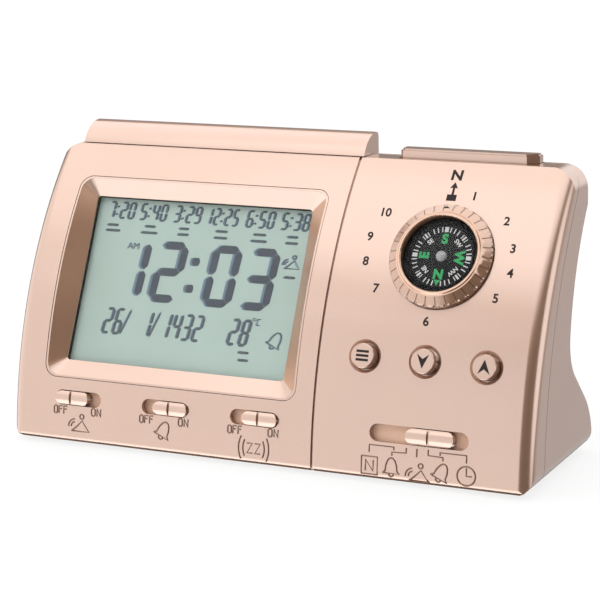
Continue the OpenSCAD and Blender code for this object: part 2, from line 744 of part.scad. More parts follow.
// knob of a slide switch, l long, in a slot sl by sh, with travel t, standing off its middle by s
module knob(x, l, sl, sh, t, s) on_face(x + s, slot_z) {
    h = sh - 2 * slide_gap;
    difference() {
        intersection() {
            translate([0, 0, -wall - slide_gap]) rounded(l, h, h / 2 - eps, wall + slide_gap + knob_out);
            translate([-l / 2, 0, knob_out - knob_crown_r]) rotate([0, 90, 0]) cylinder(r = knob_crown_r, h = l);
        }
        translate([-knob_split_off, 0, knob_out - knob_split_deep]) block(0.9, 2 * h, 2);
    }
    translate([0, 0, -wall - slide_gap - 0.8]) block(sl + t + 1.2, sh + 1.6, 0.8);
    translate([0, 0, -lever_z]) block(1.6, 1.6, lever_z - wall - slide_gap);
}
module azan_knob() stand() color(paint) knob(left_slot_x, knob_l, slot_l, slot_h, slot_travel, -slot_travel / 2);
module alarm_knob() stand() color(paint) knob(mid_slot_x, knob_l, slot_l, slot_h, slot_travel, slot_travel / 2);
module snooze_knob() stand() color(paint) knob(right_slot_x, knob_l, slot_l, slot_h, slot_travel, slot_travel / 2);
module mode_knob() stand() color(paint) knob(mode_x, mode_knob_l, mode_l, mode_h, 4 * mode_step, mode_step);

module switch_body(x, t) on_face(x, slot_z) difference() {
    translate([0, 0, -slide_board_z]) block(t + 7, 4.6, slide_board_z - lever_z + 0.8);
    translate([0, 0, -lever_z - 0.5]) block(t + 2.6, 2.4, 3);
}
module slide_switches() stand() color("#b8babd") for (x = [left_slot_x, mid_slot_x, right_slot_x])
    switch_body(x, slot_travel);
module mode_switch() stand() color("#b8babd") switch_body(mode_x, 4 * mode_step);

module slide_board() stand() color("#2f6b3a") on_face(0, slot_z) difference() {
    translate([(slide_board_x0 + slide_board_x1) / 2, -1, -slide_board_z - board_t])
        rounded(slide_board_x1 - slide_board_x0, slide_board_h, 1, board_t);
    at_posts(slide_posts) translate([0, 0, -2 * slide_board_z]) cylinder(r = screw_r + 0.15, h = 2 * slide_board_z);
}

// side view of the long bar: over the front's edge at the front, into the case's shelf behind it
function bar_outline() =
    let (z0 = shelf_z + bar_drop, z1 = case_h + bar_gap, y0 = bar_lip_y + bar_gap)
    concat([[y0, z0], [bar_back_y, z0]],
        arc([bar_back_y - bar_corner_r, long_bar_z - bar_corner_r], bar_corner_r, 0, 90),
        arc(bar_front_c, bar_front_r, 90, 180 - asin((z1 - bar_front_c[1]) / bar_front_r)),
        [[y0, z1]]);
// the same bar's hollow
function bar_hollow() =
    let (y0 = bar_lip_y + bar_gap + bar_wall, y1 = bar_back_y - bar_wall, r = bar_front_r - bar_wall)
    concat([[y0, shelf_z], [y1, shelf_z], [y1, long_bar_z - bar_wall]],
        arc(bar_front_c, r, 90, acos((y0 - bar_front_c[0]) / r)));

module snooze_bar() stand() color(paint) {
    difference() {
        along_x(long_bar_x0, long_bar_x1) polygon(bar_outline());
        along_x(long_bar_x0 + bar_wall, long_bar_x1 - bar_wall) polygon(bar_hollow());
    }
    translate([bar_stem_x, bar_stem_y, bar_stem_z]) cylinder(r = bar_stem_r, h = bar_stem_top - bar_stem_z);
}

module light_bar() stand() color(paint) {
    translate([0, 0, shelf_z - 0.4]) linear_extrude(short_bar_z - shelf_z - 0.2) short_bar_plan(0);
    translate([0, 0, short_bar_z - 0.6 - eps]) linear_extrude(0.6 + eps) short_bar_plan(0.5);
    translate([short_bar_x0 - 1, short_bar_y0 - 0.7, shelf_z - 0.5 - 1])
        cube([short_bar_x1 - short_bar_x0 + 2, short_bar_y1 - short_bar_y0 + 0.8, 1]);
    translate([short_stem_x, bar_stem_y - 1, bar_stem_z]) cylinder(r = bar_stem_r, h = shelf_z - bar_stem_z);
}

module short_bar_plan(e) {
    c = short_bar_corner;
    polygon([[short_bar_x0 + e, short_bar_y0 + 1 + e], [short_bar_x0 + 1 + e, short_bar_y0 + e],
        [short_bar_x1 - c - e / 2, short_bar_y0 + e], [short_bar_x1 - e, short_bar_y0 + c - 1 + e / 2],
        [short_bar_x1 - e, short_bar_y1 - e], [short_bar_x0 + e, short_bar_y1 - e]]);
}

module top_board() stand() color("#2f6b3a")
    translate([top_board_x0, back_y - wall - top_board_d - 0.4, top_board_z])
        cube([top_board_x1 - top_board_x0, top_board_d, board_t]);

module top_switches() stand() color("#1f1f22") for (x = [bar_stem_x, short_stem_x])
    translate([x, bar_stem_y - 1, top_board_z + board_t]) {
        block(6, 6, 2);
        cylinder(r = 1.7, h = 2.3);
    }

module speaker_basket() stand() color("#4a4d50") on_slope(speaker_x) difference() {
    union() {
        translate([0, 0, -speaker_z - 1]) cylinder(r = speaker_d / 2, h = 1);
        translate([0, 0, -speaker_z - 5]) cylinder(r1 = speaker_d / 2 - 5, r2 = speaker_d / 2 - 1.5, h = 4.5);
    }
    translate([0, 0, -speaker_z - 4.2]) cylinder(r1 = speaker_d / 2 - 6, r2 = speaker_d / 2 - 2.4, h = 4.3);
}

module speaker_cone() stand() color("#1b1b1d") on_slope(speaker_x) translate([0, 0, -speaker_z - 3.4]) difference() {
    union() {
        cylinder(r1 = speaker_d / 2 - 8, r2 = speaker_d / 2 - 3.2, h = 3);
        cylinder(r = speaker_d / 2 - 8, h = 1.4);
    }
    translate([0, 0, 1.4]) cylinder(r1 = speaker_d / 2 - 8, r2 = speaker_d / 2 - 3.6, h = 1.7);
}

module speaker_magnet() stand() color("#2a2a2c") on_slope(speaker_x)
    translate([0, 0, -speaker_z - 9]) cylinder(r = speaker_d / 2 - 6, h = 4);

module at_cells() {
    for (s = [1, -1]) on_slope(cell_x) translate([0, s * (cell_d / 2 + 0.2), -cell_z]) children();
}

module battery_tray() stand() color("#2c2c2f") on_slope(cell_x) difference() {
    for (s = [-1, 1]) translate([-tray_l / 2 - 1.2, s * (cell_d / 2 + 0.2), -cell_z]) rotate([0, 90, 0])
        cylinder(r = cell_d / 2 + 0.95, h = tray_l + 2.4);
    for (s = [-1, 1]) translate([-tray_l / 2, s * (cell_d / 2 + 0.2), -cell_z]) rotate([0, 90, 0])
        cylinder(r = cell_d / 2 + 0.25, h = tray_l);
    translate([0, 0, -cell_z + 1]) block(tray_l, 3 * cell_d, cell_d);
}

// one round cell along x, its positive end turned by s
module cell(s) on_slope(cell_x) translate([s * (contact_l / 2 - 0.5), s * (cell_d / 2 + 0.2), -cell_z])
    rotate([0, s * 90, 0]) translate([0, 0, -cell_l / 2]) {
        cylinder(r = cell_d / 2, h = cell_l - 1);
        cylinder(r = 2.7, h = cell_l);
    }
module cell_low() stand() color("#3a7d44") cell(1);
module cell_high() stand() color("#3a7d44") cell(-1);

module contact_springs() stand() color("#c9ccd0") for (s = [-1, 1]) on_slope(cell_x)
    translate([-s * tray_l / 2, s * (cell_d / 2 + 0.2), -cell_z]) rotate([0, s * 90, 0])
        cylinder(r1 = 4.5, r2 = 2.5, h = contact_l - 0.6);

module contact_plates() stand() color("#c9ccd0") for (s = [-1, 1]) on_slope(cell_x)
    translate([s * tray_l / 2, s * (cell_d / 2 + 0.2), -cell_z]) rotate([0, -s * 90, 0]) cylinder(r = 4.5, h = 0.45);

module battery_door() stand() color(paint) {
    intersection() {
        case_skin();
        on_slope(cell_x) translate([0, 0, -3 * wall]) block(door_w - 2 * slide_gap, door_h - 2 * slide_gap, 8 * wall);
    }
    on_slope(cell_x) for (i = [-1:1]) translate([0, i * 2, -eps]) block(14, 0.8, 0.5);
}

module case_screws() stand() color("#8f9296") at_case_screws() {
    drill($tip + 0.5, $seat + 0.1, case_screw_r);
    difference() {
        drill($seat, $seat + 2, case_head_r);
        for (a = [0, 90]) rotate([0, a, 0]) translate([-1.8, $seat + 1.1, -0.35]) cube([3.6, 1, 0.7]);
    }
}

module board_screws() stand() color("#8f9296") {
    on_face(ring_x, ring_z) at_posts(ring_posts) board_screw(selector_board_z + board_t);
    on_face(display_x, display_z) at_posts(holder_posts) board_screw(holder_z + 2);
    on_face(ring_x, key_z) at_posts(key_posts) board_screw(key_board_z + board_t);
    on_face(0, slot_z) at_posts(slide_posts) board_screw(slide_board_z + board_t);
}

module at_feet() {
    for (x = [-foot_x, foot_x], y = [front_foot_y, back_foot_y]) translate([x, y, 0]) children();
}

module rubber_feet() stand() color("#232325") at_feet()
    translate([0, 0, -foot_h]) cylinder(r = pad_d / 2, h = foot_h + foot_sunk - 0.05);

front_shell();
rear_shell();
display_bezel();
display_window();
display_glass();
light_guide();
display_holder();
contact_rubber();
backlight_led();
main_board();
board_chips();
selector_ring();
ring_retainer();
compass_bowl();
compass_pin();
compass_card();
compass_hub();
compass_magnet();
compass_dome();
selector_board();
set_key();
down_key();
up_key();
key_switches();
key_board();
azan_knob();
alarm_knob();
snooze_knob();
mode_knob();
slide_switches();
mode_switch();
slide_board();
snooze_bar();
light_bar();
top_switches();
top_board();
speaker_basket();
speaker_cone();
speaker_magnet();
battery_tray();
cell_low();
cell_high();
contact_springs();
contact_plates();
battery_door();
case_screws();
board_screws();
rubber_feet();
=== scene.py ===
"""Desk prayer-time clock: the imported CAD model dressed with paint, display, dial and signs."""

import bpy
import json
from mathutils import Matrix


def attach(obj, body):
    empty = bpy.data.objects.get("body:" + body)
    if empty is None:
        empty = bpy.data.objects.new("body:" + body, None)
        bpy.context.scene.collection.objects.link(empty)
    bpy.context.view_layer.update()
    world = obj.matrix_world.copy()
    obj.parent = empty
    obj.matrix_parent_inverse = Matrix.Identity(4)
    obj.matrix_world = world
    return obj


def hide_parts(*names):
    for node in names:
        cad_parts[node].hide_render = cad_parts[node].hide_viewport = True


bl_info = {
    "name": "Prayer-time clock",
    "version": (1, 0, 0),
    "blender": (4, 5, 0),
    "location": "View3D > Sidebar > Clock",
    "description": "Dresses the desk clock: painted case, display, compass, keys, switches and signs",
    "category": "Object",
}

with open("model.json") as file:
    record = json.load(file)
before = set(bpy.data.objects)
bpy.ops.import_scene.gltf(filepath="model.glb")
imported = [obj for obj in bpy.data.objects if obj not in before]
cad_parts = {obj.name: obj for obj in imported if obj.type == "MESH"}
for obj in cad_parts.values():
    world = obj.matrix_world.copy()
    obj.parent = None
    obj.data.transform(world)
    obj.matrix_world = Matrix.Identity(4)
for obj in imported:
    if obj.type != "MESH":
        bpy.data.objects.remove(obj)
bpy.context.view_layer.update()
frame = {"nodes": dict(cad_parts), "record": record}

import json
import math

import bpy
from bpy.props import FloatProperty, FloatVectorProperty, PointerProperty
from mathutils import Matrix, Vector

MM = 0.001

# All sizes below are in millimetres, in the row frame, unless they say otherwise.
# The front is part of a cylinder that lies along x.
FACE_R = 150.3
FACE_Y = 120.5088
FACE_Z = -9.9
FOOT = 1.0
HALF_W = 92.5
EDGE_R = 4.5
TOP_CORNER_R = 8.0
LOW_CORNER_R = 6.0
CASE_TOP = 95.2
# Selector ring: its place on the front, its inner lip, its sloping rim and the grooves in that
RING = (55.4, 67.9)
LIP_R = 13.75
RIM_R = 15.35
RIM_OUT = 2.11
RIM_SLOPE = math.atan2(1.4, 2.5)
RING_GROOVES = 30
# Knobs: how far their crown stands out, its radius and how deep their plate lies
KNOB_OUT = 1.2
KNOB_CROWN_R = 3.4
PLATE_DEPTH = 1.9
# Display: its place on the front, its window, and the frame's slope up to the front
DISPLAY = (-33.75, 54.8)
WINDOW = (80.6, 57.0)
WINDOW_R = 1.3
SLOPE_TOP = (91.4, 68.4)
SLOPE_TOP_R = 4.5
SLOPE_DEEP = 5.85
SLOPE_UNDER_FRONT = 0.25
SLOPE_THICK = 0.2
# Faces of the slope that lean more than this along x are its sides, which get a darker paint as painted shade
SIDE_LEAN = 0.35
# Keys, slots and their heights on the front
KEYS = ((35.2, "set"), (55.4, "down"), (75.6, "up"))
KEY_Z = 37.6
KEY_OUT = 2.215
SLOT_Z = 15.1
SLOTS = ((-66.6, "azan_knob"), (-33.8, "alarm_knob"), (-1.3, "snooze_knob"))
# Vertices nearer than this are merged (metres)
MERGE = 0.000002
# Text size for a capital letter one high; how far its outline is fattened, as a share of its height
TEXT_PER_CAPITAL = 1.38
BOLD = 0.035
# Thickness of a letter and of a dial mark
WORD_THICK = 0.01
MARK_THICK = 0.015
# A point this near to a true curve belongs to it
NEAR_CURVE = 0.25
# Angles up to which faces of an own piece are shaded as one (degrees): for soft forms and rounded lines
SOFT_ANGLE, ROUND_ANGLE = 30, 60


# ---------------------------------------------------------------- settings

LENGTH = dict(subtype='DISTANCE', unit='LENGTH')
COLOUR = dict(size=3, subtype='COLOR', min=0, max=1)


class ClockSizes(bpy.types.PropertyGroup):
    """Sizes of what is printed or raised on the clock"""
    print_height: FloatProperty(name="Print height", description="How far a printed mark stands proud",
                                default=0.00004, min=0.0, max=0.0005, **LENGTH)
    ridge_height: FloatProperty(name="Ridge height", description="How far a raised sign stands proud",
                                default=0.00022, min=0.0, max=0.001, **LENGTH)
    ridge_width: FloatProperty(name="Ridge width", description="Width of a raised sign's lines",
                               default=0.00055, min=0.0001, max=0.002, **LENGTH)
    digit_height: FloatProperty(name="Digit height", description="Height of the big time digits",
                                default=0.0210, min=0.01, max=0.03, **LENGTH)
    number_height: FloatProperty(name="Number height", description="Height of the numbers round the ring",
                                 default=0.0029, min=0.001, max=0.005, **LENGTH)


class ClockColours(bpy.types.PropertyGroup):
    """Colours of the clock's finishes"""
    paint: FloatVectorProperty(name="Paint", description="Rose-gold paint of the case",
                               default=(0.45, 0.25, 0.162), **COLOUR)
    paint_ring: FloatVectorProperty(name="Ring paint", description="Champagne paint of the selector ring",
                                    default=(0.40, 0.205, 0.115), **COLOUR)
    display: FloatVectorProperty(name="Display", description="Grey-green of the display",
                                 default=(0.42, 0.54, 0.485), **COLOUR)
    segment: FloatVectorProperty(name="Segments", description="Dark lit segments of the display",
                                 default=(0.075, 0.085, 0.105), **COLOUR)
    dial_green: FloatVectorProperty(name="Dial green", description="Green letters of the compass",
                                    default=(0.02, 0.48, 0.13), **COLOUR)


def sizes():
    return bpy.context.scene.clock_sizes


def colours():
    return bpy.context.scene.clock_colours


# ---------------------------------------------------------------- places

def on_front(x, z):
    """Matrix of the front at x, z (millimetres): x along, y up the front, z out of it."""
    a = math.asin((z + FOOT - FACE_Z) / FACE_R)
    sin, cos = math.sin(a), math.cos(a)
    m = Matrix(((1, 0, 0), (0, sin, -cos), (0, cos, sin))).to_4x4()
    m.translation = Vector((x, FACE_Y - FACE_R * cos, FACE_Z + FACE_R * sin)) * MM
    return m


def wrap(obj, x, z):
    """Lays a flat piece, drawn in metres round 0, 0, on the curved front at x, z."""
    a0 = math.asin((z + FOOT - FACE_Z) / FACE_R)
    for v in obj.data.vertices:
        a = a0 + v.co.y / (FACE_R * MM)
        r = FACE_R * MM + v.co.z
        v.co = Vector((x * MM + v.co.x, FACE_Y * MM - r * math.cos(a), FACE_Z * MM + r * math.sin(a)))


def place(obj, matrix):
    """Puts a matrix into the mesh itself."""
    obj.data.transform(matrix)
    obj.data.update()


# ---------------------------------------------------------------- making

def clear_selection():
    if bpy.context.object and bpy.context.object.mode != 'OBJECT':
        bpy.ops.object.mode_set(mode='OBJECT')
    bpy.ops.object.select_all(action='DESELECT')


def select_only(obj):
    clear_selection()
    obj.select_set(True)
    bpy.context.view_layer.objects.active = obj


def taken(name):
    """The object just made, named."""
    obj = bpy.context.object
    obj.name = name
    obj.data.name = name
    return obj


def edit_all(obj):
    """Opens an object in edit mode with all of it selected."""
    select_only(obj)
    bpy.ops.object.mode_set(mode='EDIT')
    bpy.ops.mesh.select_all(action='SELECT')


def edited():
    bpy.ops.object.mode_set(mode='OBJECT')


def faced_outwards(obj):
    edit_all(obj)
    bpy.ops.mesh.normals_make_consistent(inside=False)
    edited()


def raised_flat(obj, high):
    """Gives a flat face a thickness in millimetres."""
    edit_all(obj)
    bpy.ops.mesh.extrude_region_move(TRANSFORM_OT_translate={"value": (0, 0, high * MM)})
    edited()


def copied(obj, name):
    twin = obj.copy()
    twin.data = obj.data.copy()
    twin.name = name
    bpy.context.collection.objects.link(twin)
    return twin


def at(x, y, z=0.0):
    """Matrix that moves by millimetres."""
    return Matrix.Translation(Vector((x, y, z)) * MM)


def turned(angle):
    """Matrix that turns by degrees round z."""
    return Matrix.Rotation(math.radians(angle), 4, 'Z')


def joined(objs, name):
    clear_selection()
    for o in objs:
        o.select_set(True)
    bpy.context.view_layer.objects.active = objs[0]
    if len(objs) > 1:
        bpy.ops.object.join()
    return taken(name)


def line(name, points, width, height):
    """A line with a rounded back through points (millimetres); its width and height are in metres."""
    clear_selection()
    bpy.ops.mesh.primitive_plane_add(size=0.1 * MM, location=(0, 0, 0))
    edit_all(taken(name))
    bpy.ops.mesh.merge(type='CENTER')
    bpy.ops.transform.translate(value=(points[0][0] * MM, points[0][1] * MM, 0))
    for p, q in zip(points, points[1:]):
        bpy.ops.mesh.extrude_vertices_move(
            TRANSFORM_OT_translate={"value": ((q[0] - p[0]) * MM, (q[1] - p[1]) * MM, 0)})
    edited()
    bpy.ops.object.convert(target='CURVE')
    curve = bpy.context.object
    curve.data.bevel_depth = width / 2
    curve.data.bevel_resolution = 1
    curve.data.use_fill_caps = True
    bpy.ops.object.convert(target='MESH')
    for v in bpy.context.object.data.vertices:
        v.co.z *= height / (width / 2)
    return taken(name)


def words_at(text, x, y, height, turn=0.0, bold=BOLD):
    """A plain text made a thin mesh round x, y, its capitals height high; bold fattens its lines."""
    clear_selection()
    bpy.ops.object.text_add(location=(0, 0, 0))
    letters = bpy.context.object.data
    letters.body = text
    letters.align_x = 'CENTER'
    letters.align_y = 'CENTER'
    letters.size = height * MM * TEXT_PER_CAPITAL
    letters.extrude = WORD_THICK * MM
    letters.offset = height * MM * bold
    bpy.ops.object.convert(target='MESH')
    obj = taken("word")
    place(obj, at(x, y) @ turned(turn))
    return obj


# ---------------------------------------------------------------- materials

def new_node(tree, kind, settings=(), **inputs):
    """A new shader node; each of its inputs gets a value or is linked to another node's output."""
    made = tree.nodes.new('ShaderNode' + kind)
    for name, value in settings:
        setattr(made, name, value)
    for label, value in inputs.items():
        fed(tree, made.inputs[label.replace('_', ' ')], value)
    return made


def fed(tree, socket, value):
    """Sets a socket to a value, or links it to another node's output."""
    if isinstance(value, bpy.types.NodeSocket):
        tree.links.new(value, socket)
    else:
        socket.default_value = value


def maths(tree, operation, *values):
    """Output of a Math node fed by outputs or numbers."""
    made = new_node(tree, 'Math', [("operation", operation)])
    for socket, value in zip(made.inputs, values):
        fed(tree, socket, value)
    return made.outputs['Value']


# Sockets of the group that all finishes share
WEAR_INPUTS = (("Color", 'NodeSocketColor', (0.5, 0.5, 0.5, 1)),
               ("Speck Color", 'NodeSocketColor', (0.9, 0.9, 0.9, 1)),
               ("Speck Scale", 'NodeSocketFloat', 6000.0), ("Speck Amount", 'NodeSocketFloat', 0.2),
               ("Patch Amount", 'NodeSocketFloat', 0.1), ("Roughness", 'NodeSocketFloat', 0.4),
               ("Roughness Spread", 'NodeSocketFloat', 0.06))
WEAR_OUTPUTS = (("Color", 'NodeSocketColor'), ("Roughness", 'NodeSocketFloat'), ("Height", 'NodeSocketFloat'))
# Noise levels where specks and patches start and are full; scale and tint of the patches
SPECK_RANGE = dict(From_Min=0.45, From_Max=0.75)
PATCH_RANGE = dict(From_Min=0.3, From_Max=0.7)
PATCH_SCALE = 45
PATCH_TINT = (0.55, 0.5, 0.5, 1)


def surface_wear():
    """Fine unevenness of a moulded or painted surface: a colour mix, a roughness and a height."""
    if "surface_wear" in bpy.data.node_groups:
        return bpy.data.node_groups["surface_wear"]
    tree = bpy.data.node_groups.new("surface_wear", 'ShaderNodeTree')
    for label, kind, value in WEAR_INPUTS:
        tree.interface.new_socket(label, in_out='INPUT', socket_type=kind).default_value = value
    for label, kind in WEAR_OUTPUTS:
        tree.interface.new_socket(label, in_out='OUTPUT', socket_type=kind)
    given = tree.nodes.new('NodeGroupInput').outputs
    coords = new_node(tree, 'TexCoord').outputs['Object']
    speck = new_node(tree, 'TexNoise', Vector=coords, Scale=given['Speck Scale'], Detail=2).outputs['Fac']
    patch = new_node(tree, 'TexNoise', Vector=coords, Scale=PATCH_SCALE, Detail=3).outputs['Fac']
    specks = new_node(tree, 'MapRange', Value=speck, To_Max=given['Speck Amount'], **SPECK_RANGE)
    patches = new_node(tree, 'MapRange', Value=patch, To_Max=given['Patch Amount'], **PATCH_RANGE)
    mix = new_node(tree, 'Mix', [("data_type", 'RGBA')], Factor=specks.outputs['Result'],
                   A=given['Color'], B=given['Speck Color'])
    dark = new_node(tree, 'Mix', [("data_type", 'RGBA'), ("blend_type", 'MULTIPLY')],
                    Factor=patches.outputs['Result'], A=mix.outputs['Result'], B=PATCH_TINT)
    rough = maths(tree, 'MULTIPLY_ADD', patch, given['Roughness Spread'], given['Roughness'])
    result = tree.nodes.new('NodeGroupOutput').inputs
    for label, value in (("Color", dark.outputs['Result']), ("Roughness", rough), ("Height", speck)):
        fed(tree, result[label], value)
    return tree


def finish_of(name, color, speck=(0.9, 0.9, 0.9), speck_scale=6000, speck_amount=0.1, patch=0.06,
              rough=0.4, spread=0.08, bump=0.02, blended=False, **sockets):
    """A material with the shared surface group in it and its own Principled BSDF."""
    if isinstance(color, str):
        color = tuple(getattr(colours(), color))
    m = bpy.data.materials.new(name + "_finish")
    m.use_nodes = True
    m.diffuse_color = (*color, 1)
    tree = m.node_tree
    shader = tree.nodes['Principled BSDF']
    wear = new_node(tree, 'Group', [("node_tree", surface_wear())], Color=(*color, 1),
                    Speck_Color=(*speck, 1), Speck_Scale=speck_scale, Speck_Amount=speck_amount,
                    Patch_Amount=patch, Roughness=rough, Roughness_Spread=spread)
    fed(tree, shader.inputs['Base Color'], wear.outputs['Color'])
    fed(tree, shader.inputs['Roughness'], wear.outputs['Roughness'])
    if bump:
        dents = new_node(tree, 'Bump', Strength=bump, Distance=BUMP_DISTANCE, Height=wear.outputs['Height'])
        fed(tree, shader.inputs['Normal'], dents.outputs['Normal'])
    for label, value in sockets.items():
        shader.inputs[label.replace('_', ' ')].default_value = value
    if blended:
        m.surface_render_method = 'BLENDED'
    return m


# Height of the surface's unevenness (metres)
BUMP_DISTANCE = 0.00003

# A colour given as a name is one of the settings. Capitals name sockets of the Principled BSDF.
PAINT = dict(speck=(0.62, 0.40, 0.28), speck_scale=9000, speck_amount=0.3, rough=0.30, spread=0.06,
             bump=0.05, Metallic=0.6, Coat_Weight=1.0)
INK = dict(rough=0.6, bump=0, Specular_IOR_Level=0.1)
FINISHES = {
    "rose_paint": dict(PAINT, color="paint", patch=0.04, Coat_IOR=2.4, Coat_Roughness=0.14),
    "ring_paint": dict(PAINT, color="paint_ring", Coat_IOR=2.2, Coat_Roughness=0.16),
    # Darker copy of the paint for the window slope's sides, as painted shade, and a paler copy for its top,
    # as painted highlight
    "side_slope_painted_shade": dict(PAINT, color=(0.47, 0.262, 0.165), patch=0.04, rough=0.34, Coat_IOR=1.32,
                        Coat_Roughness=0.2),
    "top_slope_painted_highlight": dict(PAINT, color=(0.66, 0.42, 0.30), speck=(0.72, 0.50, 0.38), patch=0.04,
                       Coat_IOR=3.0, Coat_Roughness=0.14),
    # Dark paint of the raised signs and of the strips in the ring's grooves: painted shade along those lines
    "painted_shade_lines": dict(color=(0.17, 0.08, 0.045), speck=(0.3, 0.17, 0.1), speck_scale=9000,
                         speck_amount=0.25, rough=0.3, bump=0.05, Metallic=0.4, Coat_Weight=0.5),
    # Paler paint for the slot floors and the ring's inner lip: painted light that lifts the shade of the
    # recesses, and a painted highlight on the lip
    "pale_painted_light": dict(color=(0.78, 0.50, 0.36), speck=(0.9, 0.66, 0.5), speck_scale=9000,
                       speck_amount=0.25, rough=0.45, bump=0.03),
    "black_plastic": dict(color=(0.012, 0.012, 0.013), speck=(0.05, 0.05, 0.05), speck_scale=4000,
                          rough=0.38, bump=0.1),
    "gloss_black": dict(color=(0.006, 0.006, 0.007), speck=(0.012, 0.012, 0.012), rough=0.5, spread=0.04,
                        bump=0, Specular_IOR_Level=0.2),
    "white_print": dict(color=(0.86, 0.86, 0.84), speck=(0.75, 0.75, 0.75), rough=0.5, bump=0),
    # Dark print, and also the dark bars round the display window, which are painted shade at its edge
    "dark_print_and_shade": dict(color=(0.03, 0.022, 0.02), speck=(0.05, 0.04, 0.035), rough=0.6, bump=0,
                       Specular_IOR_Level=0.15),
    "green_print": dict(color="dial_green", speck=(0.05, 0.58, 0.20), rough=0.45, bump=0),
    "segment_ink": dict(INK, color="segment", speck=(0.09, 0.09, 0.12), speck_amount=0.2),
    # Pale blue painted shadow that each bar of the display casts beside it
    "segment_shade": dict(INK, color=(0.16, 0.22, 0.29), speck=(0.19, 0.26, 0.33)),
    "small_ink": dict(INK, color=(0.095, 0.115, 0.125), speck=(0.12, 0.145, 0.155)),
    "display_face": dict(color="display", speck=(0.48, 0.60, 0.54), speck_scale=12000, speck_amount=0.35,
                         patch=0.12, rough=0.32, spread=0.05, bump=0.03),
    "steel": dict(color=(0.52, 0.52, 0.53), speck=(0.7, 0.7, 0.7), speck_scale=3000, speck_amount=0.3,
                  rough=0.3, bump=0.1, Metallic=1.0),
    "rubber": dict(color=(0.05, 0.05, 0.052), speck=(0.1, 0.1, 0.1), speck_scale=2500, rough=0.72,
                   bump=0.2),
    "board_green": dict(color=(0.03, 0.17, 0.07), speck=(0.2, 0.35, 0.15), speck_scale=700,
                        speck_amount=0.5, patch=0.2, rough=0.45, bump=0.2),
    "diffuser": dict(color=(0.8, 0.84, 0.8), speck=(0.95, 0.95, 0.95), rough=0.55, bump=0.05),
    "lamp_body": dict(color=(0.85, 0.83, 0.7), speck=(1, 1, 0.9), rough=0.3, bump=0),
    "cone_paper": dict(color=(0.05, 0.05, 0.055), speck=(0.14, 0.13, 0.12), speck_scale=1800,
                       speck_amount=0.6, patch=0.2, rough=0.85, bump=0.5),
    "cell_wrap": dict(color=(0.02, 0.03, 0.045), speck=(0.1, 0.1, 0.12), rough=0.28, Coat_Weight=0.4),
    "clear_plastic": dict(color=(0.25, 0.30, 0.28), speck=(0.3, 0.35, 0.33), rough=0.08, spread=0.03,
                          bump=0, blended=True, Alpha=0.05, IOR=1.9),
    "dome_plastic": dict(color=(0.02, 0.02, 0.022), speck=(0.03, 0.03, 0.03), rough=0.06, spread=0.02,
                         bump=0, blended=True, Alpha=0.10, IOR=1.6),
    "hub_grey": dict(color=(0.50, 0.50, 0.49), speck=(0.62, 0.62, 0.6), rough=0.42, bump=0, Metallic=0.2),
}


def finish(name):
    """The material of a finish, made when it is first asked for."""
    return bpy.data.materials.get(name + "_finish") or finish_of(name, **FINISHES[name])


# Finish and slot of each node that is copied and smoothed
NODE_FINISH = {node: ("rose_paint", "rose_paint") for node in (
    "front_shell", "rear_shell", "display_bezel", "snooze_bar", "light_bar", "set_key", "down_key", "up_key",
    "azan_knob", "alarm_knob", "snooze_knob", "mode_knob", "battery_door")}
NODE_FINISH.update({
    "selector_ring": ("ring_paint", "rose_paint"), "compass_bowl": ("gloss_black", "black_plastic"),
    "compass_card": ("gloss_black", "card_black"), "compass_hub": ("hub_grey", "silver"),
    "compass_dome": ("dome_plastic", "clear_plastic"), "display_window": ("clear_plastic", "clear_plastic"),
    "display_glass": ("display_face", "display_glass"), "speaker_basket": ("steel", "steel"),
    "speaker_cone": ("cone_paper", "cone_paper"), "case_screws": ("steel", "steel"),
    "rubber_feet": ("rubber", "rubber")})
# Finish of each node that stays as it is inside the case
INNER_FINISH = {
    "light_guide": "diffuser", "display_holder": "black_plastic", "contact_rubber": "rubber",
    "backlight_led": "lamp_body", "main_board": "board_green", "board_chips": "black_plastic",
    "ring_retainer": "black_plastic", "compass_pin": "steel", "compass_magnet": "steel",
    "selector_board": "board_green", "key_switches": "black_plastic", "key_board": "board_green",
    "slide_switches": "steel", "mode_switch": "steel", "slide_board": "board_green",
    "top_switches": "black_plastic", "top_board": "board_green", "speaker_magnet": "steel",
    "battery_tray": "black_plastic", "cell_low": "cell_wrap", "cell_high": "cell_wrap",
    "contact_springs": "steel", "contact_plates": "steel", "board_screws": "steel",
}

# Angles up to which the faces of a node are shaded as one (degrees); SMOOTH for those not named
SMOOTH = 32
SMOOTHING = {"azan_knob": 28, "alarm_knob": 28, "snooze_knob": 28, "mode_knob": 28, "selector_ring": 18,
             "light_bar": 12, "display_bezel": 20}
# Nodes that are shaded along the case's true curves, and endings of the small ones that are simplified
CASE_PIECES = ("front_shell", "rear_shell", "display_bezel", "battery_door", "snooze_bar")
SMALL_PIECES = ("_knob", "_key", "_bar", "_ring")
# Faces of small pieces that turn less than this are made one (degrees)
SAME_FLAT = 0.6


def body_name(node):
    for body, members in frame["record"]["behaviour"]["bodies"].items():
        if node in members:
            return body
    raise RuntimeError("no body holds " + node)


def give(obj, material):
    obj.data.materials.clear()
    obj.data.materials.append(material)


def settle(obj, name, body):
    """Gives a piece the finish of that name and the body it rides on."""
    give(obj, finish(name))
    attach(obj, body)


# What counts as one strip of a profile: cosine between its faces and their distance (metres)
SAME_STRIP = 0.99999
STRIP_LEVEL = 0.00003
# What counts as the next strip: cosine between the two and the gap between their edges (metres)
NEXT_STRIP = 0.94
STRIP_GAP = 0.00005
# Faces that lean more than this along x, or are smaller (square metres), are in no strip
ALONG_X = 0.02
TINY_AREA = 1e-10
# A strip counts as at least this wide (metres)
LEAST_EXTENT = 1e-6
# A point this near to a knob's crown belongs to it
NEAR_CROWN = 0.08
